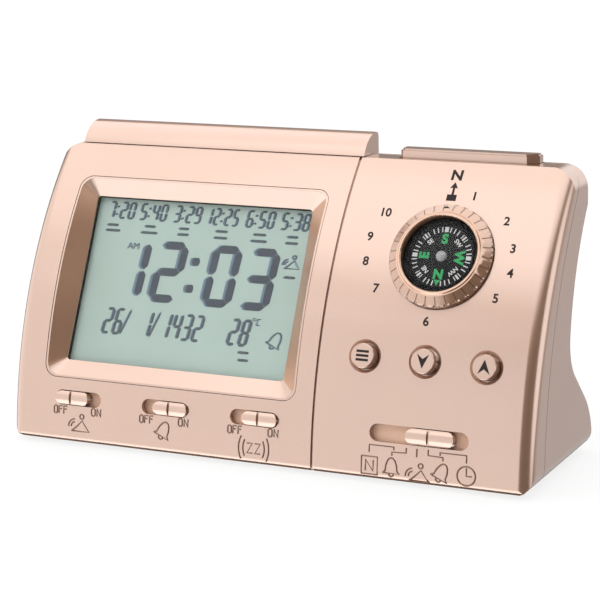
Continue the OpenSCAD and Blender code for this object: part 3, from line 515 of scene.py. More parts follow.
# Cosine within which a face follows a true curve
ON_CURVE = 0.9
# A face that leans more than this to the front or back is in no rounded corner
CORNER_LEAN = 0.15


def face_corners(mesh, faces):
    """Each corner of the faces: the face, the corner's index and its place."""
    for face in faces:
        for i in face.loop_indices:
            yield face, i, mesh.vertices[mesh.loops[i].vertex_index].co


def front_normal(co):
    """Outward direction of the curved front, or of its rounded side edge, near a point on it."""
    y, z = co.y / MM - FACE_Y, co.z / MM - FACE_Z
    rho = math.hypot(y, z)
    radial = Vector((0, y / rho, z / rho))
    beside = abs(co.x) / MM - (HALF_W - EDGE_R)
    if beside <= 0:
        return radial if abs(rho - FACE_R) < NEAR_CURVE else None
    inward = rho - (FACE_R - EDGE_R)
    if inward < 0 or abs(math.hypot(inward, beside) - EDGE_R) > NEAR_CURVE:
        return None
    return (radial * inward + Vector((math.copysign(beside, co.x), 0, 0))).normalized()


def corner_normal(co, facing):
    """Outward direction of the case's rounded corner, seen from the front, near a point on it."""
    if abs(facing.y) > CORNER_LEAN:
        return None
    x, z = abs(co.x) / MM, co.z / MM
    for r, level, up in ((TOP_CORNER_R, CASE_TOP - TOP_CORNER_R, 1),
                         (LOW_CORNER_R, FOOT + LOW_CORNER_R, -1)):
        across, rise = x - (HALF_W - r), up * (z - level)
        if across >= 0 and rise >= 0 and abs(math.hypot(across, rise) - r) < NEAR_CURVE:
            return Vector((math.copysign(across, co.x), 0, up * rise)).normalized()
    return None


def strip_of(face, strips):
    """The strip that a face lies in, added to the strips if it is the first face there."""
    n, level = face.normal, face.normal.dot(face.center)
    for one in strips:
        if one["n"].dot(n) > SAME_STRIP and abs(one["level"] - level) < STRIP_LEVEL:
            return one
    strips.append({"n": n.copy(), "level": level, "along": Vector((0, -n.z, n.y)), "faces": [],
                   "lo": math.inf, "hi": -math.inf})
    return strips[-1]


def long_strips(mesh):
    """The flat strips along x that a curved profile is made of: direction, extent and faces of each."""
    strips = []
    for face in mesh.polygons:
        if abs(face.normal.x) > ALONG_X or face.area < TINY_AREA:
            continue
        strip = strip_of(face, strips)
        strip["faces"].append(face)
        for i in face.vertices:
            s = strip["along"].dot(mesh.vertices[i].co)
            strip["lo"] = min(strip["lo"], s)
            strip["hi"] = max(strip["hi"], s)
    for one in strips:
        for end in ("lo", "hi"):
            one["at_" + end] = one["n"] * one["level"] + one["along"] * one[end]
    return strips


def strip_normals(mesh, normals):
    """Shades the strips of a profile as one smooth curve, whatever holes or cuts are in them."""
    strips = long_strips(mesh)
    for one in strips:
        edge = {}
        for end, other in (("lo", "hi"), ("hi", "lo")):
            near = [two for two in strips if two is not one and two["n"].dot(one["n"]) > NEXT_STRIP
                    and (two["at_" + other] - one["at_" + end]).length < STRIP_GAP]
            edge[end] = one["n"]
            if near:
                two = max(near, key=lambda strip: strip["n"].dot(one["n"]))
                mine, theirs = one["hi"] - one["lo"], two["hi"] - two["lo"]
                edge[end] = (one["n"] * mine + two["n"] * theirs).normalized()
        for _, i, co in face_corners(mesh, one["faces"]):
            share = (one["along"].dot(co) - one["lo"]) / max(one["hi"] - one["lo"], LEAST_EXTENT)
            normals[i] = edge["lo"].lerp(edge["hi"], share).normalized()


def even_normals(mesh, angle):
    """Directions at the corners of faces: the mean, by area, of the faces that turn less than angle."""
    limit = math.cos(math.radians(angle))
    flat = [(face.normal.copy(), face.area) for face in mesh.polygons]
    around = [[] for _ in mesh.vertices]
    for face in mesh.polygons:
        for i in face.vertices:
            around[i].append(face.index)
    normals = [None] * len(mesh.loops)
    for face in mesh.polygons:
        for i in face.loop_indices:
            total = Vector((0, 0, 0))
            for other in around[mesh.loops[i].vertex_index]:
                direction, area = flat[other]
                if direction.dot(face.normal) > limit:
                    total += direction * area
            normals[i] = total.normalized() if total.length > 0 else face.normal.copy()
    return normals


def front_shading(obj, angle):
    """Shades a piece of the case along the true curves that its faces follow."""
    mesh = obj.data
    normals = even_normals(mesh, angle)
    if not obj.name.startswith("display_bezel"):
        strip_normals(mesh, normals)
    for face, i, co in face_corners(mesh, mesh.polygons):
        true = corner_normal(co, face.normal) or front_normal(co)
        if true and true.dot(face.normal) > ON_CURVE:
            normals[i] = true
    mesh.normals_split_custom_set(normals)


def plate_painted_light(knob):
    """Gives the knob's plate, which is the floor of the slot, a paler paint: painted light that lifts the
    shade of the recess.
    """
    knob.data.materials.append(finish("pale_painted_light"))
    for face in knob.data.polygons:
        y, z = face.center.y / MM - FACE_Y, face.center.z / MM - FACE_Z
        if math.hypot(y, z) < FACE_R - PLATE_DEPTH:
            face.material_index = 1


def crown_shading(knob):
    """Shades the knob's crowned top along its true curve."""
    mesh = knob.data
    normals = [n.vector.copy() for n in mesh.corner_normals]
    slot_frame = on_front(0, SLOT_Z)
    to_slot = slot_frame.inverted()
    axis = KNOB_OUT - KNOB_CROWN_R
    for face, i, point in face_corners(mesh, mesh.polygons):
        co = to_slot @ point / MM
        radial = Vector((0, co.y, co.z - axis))
        if abs(radial.length - KNOB_CROWN_R) < NEAR_CROWN:
            true = (slot_frame.to_3x3() @ radial).normalized()
            if true.dot(face.normal) > ON_CURVE:
                normals[i] = true
    mesh.normals_split_custom_set(normals)


def lip_painted_highlight(ring):
    """Gives the ring's flat inner lip a paler paint: a painted highlight."""
    ring.data.materials.append(finish("pale_painted_light"))
    outward = on_front(*RING).to_3x3() @ Vector((0, 0, 1))
    middle = on_front(*RING).translation
    for face in ring.data.polygons:
        beside = face.center - middle
        beside -= outward * beside.dot(outward)
        if face.normal.dot(outward) > ON_CURVE and beside.length / MM < LIP_R:
            face.material_index = 1


def dress(node):
    """Puts a merged, smoothly shaded copy with its finish in a CAD node's place."""
    name, slot = NODE_FINISH[node]
    copy = copied(frame["nodes"][node], node + "_finished")
    copy.parent = None
    edit_all(copy)
    bpy.ops.mesh.remove_doubles(threshold=MERGE)
    if node.endswith(SMALL_PIECES):
        bpy.ops.mesh.dissolve_limited(angle_limit=math.radians(SAME_FLAT))
    edited()
    angle = SMOOTHING.get(node, SMOOTH)
    bpy.ops.object.shade_smooth_by_angle(angle=math.radians(angle))
    if node in CASE_PIECES:
        front_shading(copy, angle)
    elif node.endswith(SMALL_PIECES):
        weighted = copy.modifiers.new("even_shading", 'WEIGHTED_NORMAL')
        weighted.mode = 'FACE_AREA_WITH_ANGLE'
        weighted.keep_sharp = True
        bpy.ops.object.modifier_apply(modifier=weighted.name)
    settle(copy, name, body_name(node))
    if node.endswith("_knob"):
        crown_shading(copy)
        plate_painted_light(copy)
    if node == "selector_ring":
        lip_painted_highlight(copy)
    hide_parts(node)


# ---------------------------------------------------------------- operators

class CLOCK_OT_case(bpy.types.Operator):
    """Gives every CAD node its finish"""
    bl_idname = "clock.case"
    bl_label = "Case and inner pieces"

    def execute(self, context):
        for node in NODE_FINISH:
            dress(node)
        for node, name in INNER_FINISH.items():
            give(frame["nodes"][node], finish(name))
        return {'FINISHED'}


# ---------------------------------------------------------------- display

# Which of the seven bars are lit, by letter
LIT_BARS = {"0": "abcdef", "1": "bc", "2": "abged", "3": "abgcd", "4": "fgbc", "5": "afgcd",
            "6": "afgecd", "7": "abc", "8": "abcdefg", "9": "abcdfg", "C": "afed"}
# Gaps between the bars, as shares of their thickness
FLAT_GAP = 1.08
TALL_GAP = 0.58
BAR_THICK = 0.02
# A colon's dots: their heights as shares of the digit's, their size and place in bar thicknesses
COLON_AT = (0.26, 0.70)
COLON_WIDE = 1.1
COLON_RIGHT = 0.3
# Pitch of a colon and of a slash, as shares of a digit's; a slash's lean, thickness and place
COLON_PITCH = 0.45
SLASH_PITCH = 0.8
SLASH_LEAN = 0.34
SLASH_THIN = 0.6
SLASH_RIGHT = 0.3


def shaped(name, corners):
    """A flat face with these corners (millimetres)."""
    clear_selection()
    bpy.ops.mesh.primitive_circle_add(vertices=len(corners), radius=MM, fill_type='NGON', location=(0, 0, 0))
    obj = taken(name)
    for v, (x, y) in zip(obj.data.vertices, corners):
        v.co = Vector((x, y, 0)) * MM
    return obj


def bar_segment(length, thick):
    """One display segment, a bar with pointed ends, lying along x."""
    tip, flat, half = length / 2, (length - thick) / 2, thick / 2
    bar = shaped("segment", ((tip, 0), (flat, half), (-flat, half), (-tip, 0), (-flat, -half), (flat, -half)))
    raised_flat(bar, BAR_THICK)
    return bar


def digit(ch, x, y, w, h, bars, slant):
    """The lit bars of one digit whose lower left corner is at x, y, copied from a flat and a tall one."""
    flat, tall, thick = bars
    half = thick / 2
    high, low = h * 0.75 - half / 2, h * 0.25 + half / 2
    spots = {"a": (w / 2, h - half), "g": (w / 2, h / 2), "d": (w / 2, half),
             "b": (w - half, high), "c": (w - half, low), "f": (half, high), "e": (half, low)}
    made = []
    for name in LIT_BARS[ch]:
        sx, sy = spots[name]
        upright = name in "bcfe"
        bar = copied(tall if upright else flat, "lit")
        place(bar, at(x + sx, y + sy) @ turned(90 if upright else 0))
        for v in bar.data.vertices:
            v.co.x += slant * (v.co.y - y * MM)
        made.append(bar)
    return made


def number(text, x, y, w, h, thick, pitch, slant=0.07):
    """Bars of a seven-segment number whose first digit's lower left corner is at x, y (millimetres)."""
    made = []
    flat_long, tall_long = w - thick * FLAT_GAP, h / 2 - thick * TALL_GAP
    flat = bar_segment(flat_long, thick)
    tall = bar_segment(tall_long, thick)
    for ch in text:
        step = pitch
        if ch == ":":
            for up in COLON_AT:
                dot = copied(flat, "colon")
                place(dot, at(x + COLON_RIGHT * thick + slant * up * h, y + up * h)
                      @ Matrix.Diagonal((thick * COLON_WIDE / flat_long, 1.0, 1, 1)))
                made.append(dot)
            step = pitch * COLON_PITCH
        elif ch == "/":
            stroke = copied(tall, "stroke")
            place(stroke, at(x + w * SLASH_RIGHT, y + h / 2)
                  @ Matrix.Rotation(math.atan2(h, h * SLASH_LEAN), 4, 'Z')
                  @ Matrix.Diagonal((math.hypot(h * SLASH_LEAN, h) / tall_long, SLASH_THIN, 1, 1)))
            made.append(stroke)
            step = pitch * SLASH_PITCH
        elif ch != " ":
            made += digit(ch, x, y, w, h, (flat, tall, thick), slant)
        x += step
    bpy.data.objects.remove(flat)
    bpy.data.objects.remove(tall)
    return made


def on_display(parts, name, color, deep, shift=(0, 0)):
    """Joins flat parts into one print on the display's glass, deep millimetres below the front."""
    piece = joined(parts, name)
    place(piece, at(*shift))
    place(piece, on_front(*DISPLAY) @ at(0, 0, -deep))
    settle(piece, color, "case")


def arc_points(cx, cy, r, a0, a1, count):
    angles = [math.radians(a0 + (a1 - a0) * i / (count - 1)) for i in range(count)]
    return [(cx + r * math.cos(a), cy + r * math.sin(a)) for a in angles]


def rounded_loop(wide, high, r, steps=7, cuts=12):
    """Points round a rectangle with rounded corners, as many for every size."""
    x, y = wide / 2 - r, high / 2 - r
    corners = [arc_points(cx, cy, r, start, start + 90, steps)
               for cx, cy, start in ((x, y, 0), (-x, y, 90), (-x, -y, 180), (x, -y, 270))]
    points = []
    for k, corner in enumerate(corners):
        points += corner
        (x0, y0), (x1, y1) = corner[-1], corners[(k + 1) % 4][0]
        points += [(x0 + (x1 - x0) * i / cuts, y0 + (y1 - y0) * i / cuts) for i in range(1, cuts)]
    return points


def window_slope():
    """The frame's slope, from the window's flat edge up to the curved front; its sides get a darker paint as
    painted shade and its top faces a paler paint as painted highlight.
    """
    low = [(x, y, -SLOPE_DEEP) for x, y in rounded_loop(*WINDOW, WINDOW_R)]
    top = [(x, y, math.sqrt(FACE_R ** 2 - y ** 2) - FACE_R - SLOPE_UNDER_FRONT)
           for x, y in rounded_loop(*SLOPE_TOP, SLOPE_TOP_R)]
    clear_selection()
    bpy.ops.mesh.primitive_circle_add(vertices=len(low), radius=MM)
    obj = taken("window_slope")
    edit_all(obj)
    bpy.ops.mesh.primitive_circle_add(vertices=len(top), radius=2 * MM)
    bpy.ops.mesh.select_all(action='SELECT')
    bpy.ops.mesh.bridge_edge_loops()
    edited()
    for v, co in zip(obj.data.vertices, low + top):
        v.co = Vector(co) * MM
    faced_outwards(obj)
    if sum(face.normal.z * face.area for face in obj.data.polygons) < 0:
        obj.data.flip_normals()
    sheet = obj.modifiers.new("thickness", 'SOLIDIFY')
    sheet.thickness = SLOPE_THICK * MM
    sheet.offset = -1
    bpy.ops.object.modifier_apply(modifier=sheet.name)
    bpy.ops.object.shade_smooth_by_angle(angle=math.radians(SOFT_ANGLE))
    # Paint of each face: its sides a darker copy as painted shade, its top faces a paler copy as painted
    # highlight
    painted_light_slots = [1 if abs(face.normal.x) > SIDE_LEAN else 2 if face.normal.y < 0 else 0
             for face in obj.data.polygons]
    place(obj, on_front(*DISPLAY))
    settle(obj, "rose_paint", "case")
    for name in ("side_slope_painted_shade", "top_slope_painted_highlight"):
        obj.data.materials.append(finish(name))
    for face, painted_light_slot in zip(obj.data.polygons, painted_light_slots):
        face.material_index = painted_light_slot


def drawn(strokes, cx, cy, size, tilt=0):
    """Strokes of a sign drawn one high round 0, 0: moved, sized and leaning by tilt degrees."""
    cos, sin = math.cos(math.radians(tilt)), math.sin(math.radians(tilt))
    return [[(cx + size * (x * cos - y * sin), cy + size * (x * sin + y * cos)) for x, y in stroke]
            for stroke in strokes]


BELL_SIDE = [(-0.44, -0.32), (-0.31, -0.2), (-0.28, 0.08), (-0.2, 0.3), (-0.1, 0.42), (0, 0.45)]
# A bell's outline and its clapper
BELL = (BELL_SIDE + [(-x, y) for x, y in reversed(BELL_SIDE[:-1])] + BELL_SIDE[:1],
        arc_points(0, -0.36, 0.12, 180, 360, 7))
# A sitting figure's body and head, and the waves of its call
CALLER = ([(-0.38, -0.42), (0.55, -0.42), (0.18, 0.08), (-0.1, -0.2), (-0.38, -0.42)],
          arc_points(0.16, 0.27, 0.11, 0, 360, 11),
          arc_points(-0.2, -0.2, 0.2, 95, 185, 7), arc_points(-0.2, -0.2, 0.34, 95, 185, 7))
BELL_TILT = -24

# The places below are on the display, measured from its middle (millimetres).
# The big time: where it starts, digit width, bar thickness and pitch
TIME = dict(text="12:03", x=-29.3, y=-6.0, w=11.0, thick=2.75, pitch=13.85)
# The row of times above it: where each starts, and their height, thickness and gap
ROW_TIMES = (("7:20", -36.5), ("5:40", -24.2), ("3:29", -11.2), ("12:25", 0.9), ("6:50", 15.9),
             ("5:38", 28.7))
ROW = dict(y=21.5, h=6.1, thick=0.75, slant=0.1)
ROW_WIDE, ROW_WIDE_LONG, ROW_GAP = 2.6, 2.3, 0.55
# Date, temperature and its unit
SMALL_NUMBERS = (dict(text="26/ 1/1432", x=-30.6, y=-18.2, w=3.3, h=9.2, thick=1.0, pitch=3.95, slant=0.12),
                 dict(text="28", x=16.5, y=-18.2, w=3.4, h=9.2, thick=1.05, pitch=4.1, slant=0.12),
                 dict(text="C", x=26.3, y=-10.9, w=1.5, h=2.4, thick=0.35, pitch=1, slant=0.1))
DEGREE = arc_points(25.4, -8.9, 0.5, 0, 360, 11)
HALF_OF_DAY = dict(text="AM", x=-24.1, y=12.4, height=2.3, bold=0.0)
# Bars that stand for small words: middle and length
WORD_BARS = ((-33.6, 19.3, 4.4), (-33.2, 17.4, 5.6), (-19.2, 19.6, 4.2), (-19.2, 17.4, 6.4),
             (-6.3, 19.6, 3.8), (-6.3, 17.6, 4.2), (7.8, 19.6, 4.6), (7.8, 17.4, 5.0),
             (21.9, 19.4, 4.8), (21.9, 17.2, 6.0), (33.9, 19.4, 4.0), (33.9, 17.3, 4.6),
             (35.2, 5.9, 4.2), (23.5, -20.1, 4.0), (23.8, -22.6, 3.8))
WORD_BAR_THICK = 0.9
DISPLAY_SIGNS = drawn(BELL, 34.2, -15.2, 6.2, BELL_TILT) + drawn(CALLER, 35.0, 11.2, 5.6)
# Line widths and height (metres)
DEGREE_LINE, SIGN_LINE, LINE_HIGH = 0.00022, 0.00045, 0.00002
# Depths below the front of the prints, of their painted shadows and of the dark bars of painted shade at the
# window's edge; the glass lies at 8.1
TIME_DEEP, LINES_DEEP, EDGE_SHADE_DEEP, TIME_SHADE_DEEP, LINES_SHADE_DEEP = 8.06, 8.07, 8.08, 8.085, 8.09
# How far the pale painted shadows of the bars lie beside them
TIME_SHADE, LINES_SHADE = (-0.95, -0.1), (-0.45, -0.05)
# Width of the dark bars round the window, painted shade at its edge
EDGE_SHADE_WIDE = 1.5


def small_prints():
    """The display's small numbers, bars and signs, as flat parts."""
    small = []
    for text, x in ROW_TIMES:
        wide = ROW_WIDE_LONG if len(text) == 5 else ROW_WIDE
        small += number(text=text, x=x, w=wide, pitch=wide + ROW_GAP, **ROW)
    for spec in SMALL_NUMBERS:
        small += number(**spec)
    small.append(line("degree", DEGREE, DEGREE_LINE, LINE_HIGH))
    small.append(words_at(**HALF_OF_DAY))
    for x, y, long in WORD_BARS:
        bar = bar_segment(long, WORD_BAR_THICK)
        place(bar, at(x, y))
        small.append(bar)
    return small + [line("sign", stroke, SIGN_LINE, LINE_HIGH) for stroke in DISPLAY_SIGNS]


def edge_shade_bars():
    """Four dark bars round the window, seen at its edge through the clear window: painted shade of the edge's
    inner wall, partly the dark holder behind it.
    """
    w, h, rim = WINDOW[0] / 2, WINDOW[1] / 2, EDGE_SHADE_WIDE
    return ([bar_box(side * (w + rim / 2), 0, rim, 2 * (h + rim)) for side in (-1, 1)]
            + [bar_box(0, side * (h + rim / 2), 2 * w, rim) for side in (-1, 1)])


class CLOCK_OT_display(bpy.types.Operator):
    """Makes the display's numbers and signs with their painted shadows, its dark border of painted shade, and
    the slope round its window with painted shade and highlight
    """
    bl_idname = "clock.display"
    bl_label = "Display"

    def execute(self, context):
        big = number(h=sizes().digit_height / MM, **TIME)
        # Copies of the bars, laid beside them as their painted shadow
        shade = [copied(part, "shade") for part in big]
        on_display(big, "display_time", "segment_ink", TIME_DEEP)
        on_display(shade, "display_time_shade", "segment_shade", TIME_SHADE_DEEP, TIME_SHADE)
        window_slope()
        # Dark bars round the window as painted shade at its edge
        on_display(edge_shade_bars(), "display_edge_shade", "dark_print_and_shade", EDGE_SHADE_DEEP)
        small = small_prints()
        shade = [copied(part, "shade") for part in small]
        on_display(small, "display_lines", "small_ink", LINES_DEEP)
        on_display(shade, "display_lines_shade", "segment_shade", LINES_SHADE_DEEP, LINES_SHADE)
        return {'FINISHED'}


# ---------------------------------------------------------------- dial and ring

# Share of a dial mark's width that would be left at the middle of the dial
SPOKE_END = 0.75


def spoke(angle, r0, r1, wide):
    """A flat radial mark from r0 to r1, narrowed at its inner end, at angle degrees."""
    clear_selection()
    bpy.ops.mesh.primitive_plane_add(size=MM, location=(0, 0, 0))
    obj = taken("tick")
    for v in obj.data.vertices:
        r = r1 if v.co.y > 0 else r0
        half = wide / 2 * (SPOKE_END + (1 - SPOKE_END) * r / r1)
        v.co = Vector((math.copysign(half, v.co.x), r, 0)) * MM
    raised_flat(obj, MARK_THICK)
    place(obj, turned(angle))
    return obj


def arrowhead(x, y, wide, high, notch=0.0):
    """A solid arrowhead with a notched base, its tip up."""
    obj = shaped("head", ((x, y + high), (x - wide / 2, y), (x, y + notch), (x + wide / 2, y)))
    raised_flat(obj, MARK_THICK)
    faced_outwards(obj)
    return obj


# Dial marks of a quarter: angle in it, outer radius and width; TICK_R is their inner radius
TICK_R = 8.1
TICKS = [(angle, 9.8, 0.36) for angle in (9, 18, 27, 63, 72, 81)]
TICKS += [(39, 9.7, 0.3), (51, 9.7, 0.3), (45, 9.8, 0.62)]
MAIN_TICK = (0, 9.8, 1.3)
# Letters: how far they are turned, and the radius and height of the green and the white ones
MAIN_LETTERS = ((0, "S"), (-90, "W"), (180, "N"), (90, "E"))
SIDE_LETTERS = ((-45, "SW"), (-135, "NW"), (135, "NE"), (45, "SE"))
MAIN_R, MAIN_HIGH, MAIN_BOLD = 5.7, 3.1, 0.07
SIDE_R, SIDE_HIGH = 6.5, 1.45
# North's arrowhead lies beyond this radius in place of a main tick; its width and height
NORTH_R = 7.75
NORTH_HEAD = (2.1, 1.9)
DIAL_OUT = 0.02
# The mark on the ring: where it is turned to, its radius, how far out it lies, its width and height
MARK_TURN, MARK_R, MARK_OUT = 3, 15.3, 2.16
MARK_HEAD = (2.4, 1.0)
# Width and length of the dark strips in the ring's grooves, painted shade
GROOVE_WIDE, GROOVE_LONG = 0.36, 2.5


def dial_letter(turn, text, r, height, bold):
    a = math.radians(turn + 90)
    return words_at(text, r * math.cos(a), r * math.sin(a), height, turn, bold)


def on_ring(part, turn, r, out):
    """Lays a part on the ring's sloping rim at turn degrees from its top."""
    place(part, turned(turn) @ at(0, r, out) @ Matrix.Rotation(-RIM_SLOPE, 4, 'X'))


class CLOCK_OT_dial(bpy.types.Operator):
    """Makes the compass card's ticks and letters, and the ring's mark and the dark strips laid in its grooves
    as painted shade
    """
    bl_idname = "clock.dial"
    bl_label = "Compass dial and ring"

    def execute(self, context):
        white = []
        for quarter in range(4):
            for angle, r, wide in TICKS + ([MAIN_TICK] if quarter != 2 else []):
                white.append(spoke(quarter * 90 + angle, TICK_R, r, wide))
        green = [dial_letter(turn, text, MAIN_R, MAIN_HIGH, MAIN_BOLD) for turn, text in MAIN_LETTERS]
        green.append(arrowhead(0, 0, *NORTH_HEAD))
        place(green[-1], turned(180) @ at(0, NORTH_R))
        white += [dial_letter(turn, text, SIDE_R, SIDE_HIGH, BOLD) for turn, text in SIDE_LETTERS]
        for parts, name, color in ((white, "dial_ticks", "white_print"),
                                   (green, "dial_letters", "green_print")):
            piece = joined(parts, name)
            place(piece, on_front(*RING) @ at(0, 0, DIAL_OUT))
            settle(piece, color, "card")
        mark = joined([arrowhead(0, 0, *MARK_HEAD)], "ring_mark")
        on_ring(mark, MARK_TURN, MARK_R, MARK_OUT)
        place(mark, on_front(*RING))
        settle(mark, "dark_print_and_shade", "selector")
        # Dark strips in the ring's grooves as painted shade
        grooves = [bar_box(0, 0, GROOVE_WIDE, GROOVE_LONG) for _ in range(RING_GROOVES)]
        for i, groove in enumerate(grooves):
            on_ring(groove, i * 360 / RING_GROOVES - 90, RIM_R, RIM_OUT)
        lines = joined(grooves, "ring_groove_shade")
        place(lines, on_front(*RING))
        settle(lines, "painted_shade_lines", "selector")
        return {'FINISHED'}


# ---------------------------------------------------------------- prints and raised signs

# Numbers round the ring, with their places from its middle
NUMBERS = (("1", 6.3, 21.1), ("2", 18.8, 13.1), ("3", 22.7, 4.1), ("4", 23.3, -3.9), ("5", 20.0, -12.2),
           ("6", -1.4, -21.2), ("7", -19.9, -12.0), ("8", -25.0, -3.4), ("9", -25.3, 4.9),
           ("10", -22.0, 13.5))
# The sign for north above them: its letter, its arrowhead, and the shaft and foot of its arrow
NORTH_WORD = dict(text="N", x=-1.3, y=28.3, height=3.7, bold=0.05)
NORTH_ARROW = dict(x=-1.25, y=23.6, wide=2.6, high=2.3, notch=0.35)
NORTH_BARS = ((-1.2, 22.6, 0.75, 2.6), (-1.3, 20.2, 3.2, 2.2))
# Half the thickness of a printed bar
BAR_HALF = 0.01
# The bars on the first key: their heights, length and thickness; the other keys' arrowheads
KEY_BARS = (-1.35, 0.0, 1.35)
KEY_BAR = (4.2, 0.78)
KEY_ARROW = dict(x=0, y=-2.2, wide=4.0, high=4.5, notch=1.5)


def bar_box(x, y, w, h):
    """A thin printed bar."""
    clear_selection()
    bpy.ops.mesh.primitive_cube_add(size=MM, location=(0, 0, 0))
    obj = taken("bar")
    for v in obj.data.vertices:
        v.co = Vector((v.co.x * w + x * MM, v.co.y * h + y * MM, math.copysign(BAR_HALF * MM, v.co.z)))
    return obj


def key_mark(name):
    """Flat parts of the mark on a key: three bars, or an arrowhead down or up."""
    if name == "set":
        return [bar_box(0, up, *KEY_BAR) for up in KEY_BARS]
    head = arrowhead(**KEY_ARROW)
    place(head, turned(180 if name == "down" else 0))
    return [head]


class CLOCK_OT_prints(bpy.types.Operator):
    """Prints the numbers round the ring, the arrow and the marks of the keys"""
    bl_idname = "clock.prints"
    bl_label = "Printed marks"

    def execute(self, context):
        high = sizes().number_height / MM
        marks = [words_at(text, x, y, high) for text, x, y in NUMBERS]
        marks += [words_at(**NORTH_WORD), arrowhead(**NORTH_ARROW)]
        marks += [bar_box(*bar) for bar in NORTH_BARS]
        piece = joined(marks, "ring_numbers")
        for v in piece.data.vertices:
            v.co.z += sizes().print_height
        wrap(piece, *RING)
        settle(piece, "dark_print_and_shade", "case")
        for x, name in KEYS:
            piece = joined(key_mark(name), name + "_mark")
            place(piece, on_front(x, KEY_Z) @ at(0, 0, KEY_OUT))
            settle(piece, "dark_print_and_shade", name + "_key")
        return {'FINISHED'}


# A narrow O's cut corners; an F's middle arm, how far above the middle it is and how much shorter
O_CUT, F_UP, F_SHORT = 0.3, 0.1, 0.2


def letter_strokes(ch, x, y, w, h):
    """Strokes of a narrow O, F, N or Z whose middle is at x, y."""
    l, r, b, t = x - w / 2, x + w / 2, y - h / 2, y + h / 2
    if ch == "O":
        c = w * O_CUT
        return [[(l, b + c), (l + c, b), (r - c, b), (r, b + c), (r, t - c), (r - c, t), (l + c, t),
                 (l, t - c), (l, b + c)]]
    if ch == "F":
        return [[(l, b), (l, t), (r, t)], [(l, y + F_UP * h), (r - F_SHORT * w, y + F_UP * h)]]
    if ch == "N":
        return [[(l, b), (l, t), (r, b), (r, t)]]
    return [[(l, t), (r, t), (l, b), (r, b)]]


def word_strokes(text, x, y, w, h, pitch):
    """Strokes of a word of such letters, w wide and h high, whose middle is at x, y."""
    start = x - pitch * (len(text) - 1) / 2
    return [s for i, ch in enumerate(text) for s in letter_strokes(ch, start + i * pitch, y, w, h)]


def raised(name, strokes, x, z):
    """Raised lines on the curved front round x, z, in a darker paint as painted shade."""
    parts = [line("stroke", points, sizes().ridge_width, sizes().ridge_height) for points in strokes]
    piece = joined(parts, name)
    wrap(piece, x, z)
    select_only(piece)
    bpy.ops.object.shade_smooth_by_angle(angle=math.radians(ROUND_ANGLE))
    settle(piece, "painted_shade_lines", "case")


# The strokes below are measured from the middle of their slot. The words beside each switch:
ON_OFF = (word_strokes("OFF", -6.75, -4.25, 1.25, 2.5, 1.85)
          + word_strokes("ON", 6.95, -4.0, 1.4, 2.5, 2.1))
# Two letters between two waves on either side: the waves' middle, radii, width, size and half angle
WAVES_AT, WAVE_RADII, WAVE_IN, WAVE_SIZE, WAVE_HALF = (0.2, -9.7), (6.4, 9.0), 0.35, 0.95, 26
SLEEP = word_strokes("ZZ", *WAVES_AT, 1.9, 3.2, 2.8)
for side in (-1, 1):
    for r in WAVE_RADII:
        SLEEP.append([(WAVES_AT[0] + side * (x - r * WAVE_IN), y) for x, y in
                      arc_points(0, WAVES_AT[1], r * WAVE_SIZE, -WAVE_HALF, WAVE_HALF, 7)])
# The sign under each switch
SWITCH_SIGNS = (drawn(CALLER, 0.4, -7.9, 7.2), drawn(BELL, -0.3, -7.3, 6.6, BELL_TILT), SLEEP)
# Lines from the mode switch's places to their signs, an N in a square, a clock with its hands
MODE_LINES = [[(-16.3, -6.3), (-16.3, -4.0), (-8.0, -4.0), (-8.0, -4.9)],
              [(-8.6, -6.7), (-8.6, -5.6), (-3.85, -5.4), (-3.85, -3.8)],
              [(-0.3, -3.7), (-0.3, -6.3)],
              [(3.45, -3.6), (3.45, -5.4), (8.4, -5.5), (8.4, -6.6)],
              [(7.4, -5.0), (7.4, -4.1), (16.1, -4.05), (16.1, -6.4)],
              [(-18.8, -7.7), (-13.4, -7.7), (-13.4, -13.4), (-18.8, -13.4), (-18.8, -7.7)],
              [(-17.4, -12.3), (-17.4, -8.8), (-14.8, -12.3), (-14.8, -8.8)],
              arc_points(16.2, -10.4, 3.0, 0, 360, 25),
              [(16.2, -7.9), (16.2, -10.4), (18.0, -10.4)]]
MODE_SIGNS = (drawn(BELL, -8.7, -10.3, 6.4) + drawn(CALLER, 0.0, -10.9, 7.2)
              + drawn(BELL, 8.0, -10.3, 6.6, BELL_TILT))


class CLOCK_OT_signs(bpy.types.Operator):
    """Raises the words OFF and ON, the switch signs and the mode lines"""
    bl_idname = "clock.signs"
    bl_label = "Raised signs"

    def execute(self, context):
        for (x, node), sign in zip(SLOTS, SWITCH_SIGNS):
            raised(node.replace("knob", "signs"), ON_OFF + sign, x, SLOT_Z)
        raised("mode_signs", MODE_LINES + MODE_SIGNS, RING[0], SLOT_Z)
        return {'FINISHED'}


# ---------------------------------------------------------------- stage

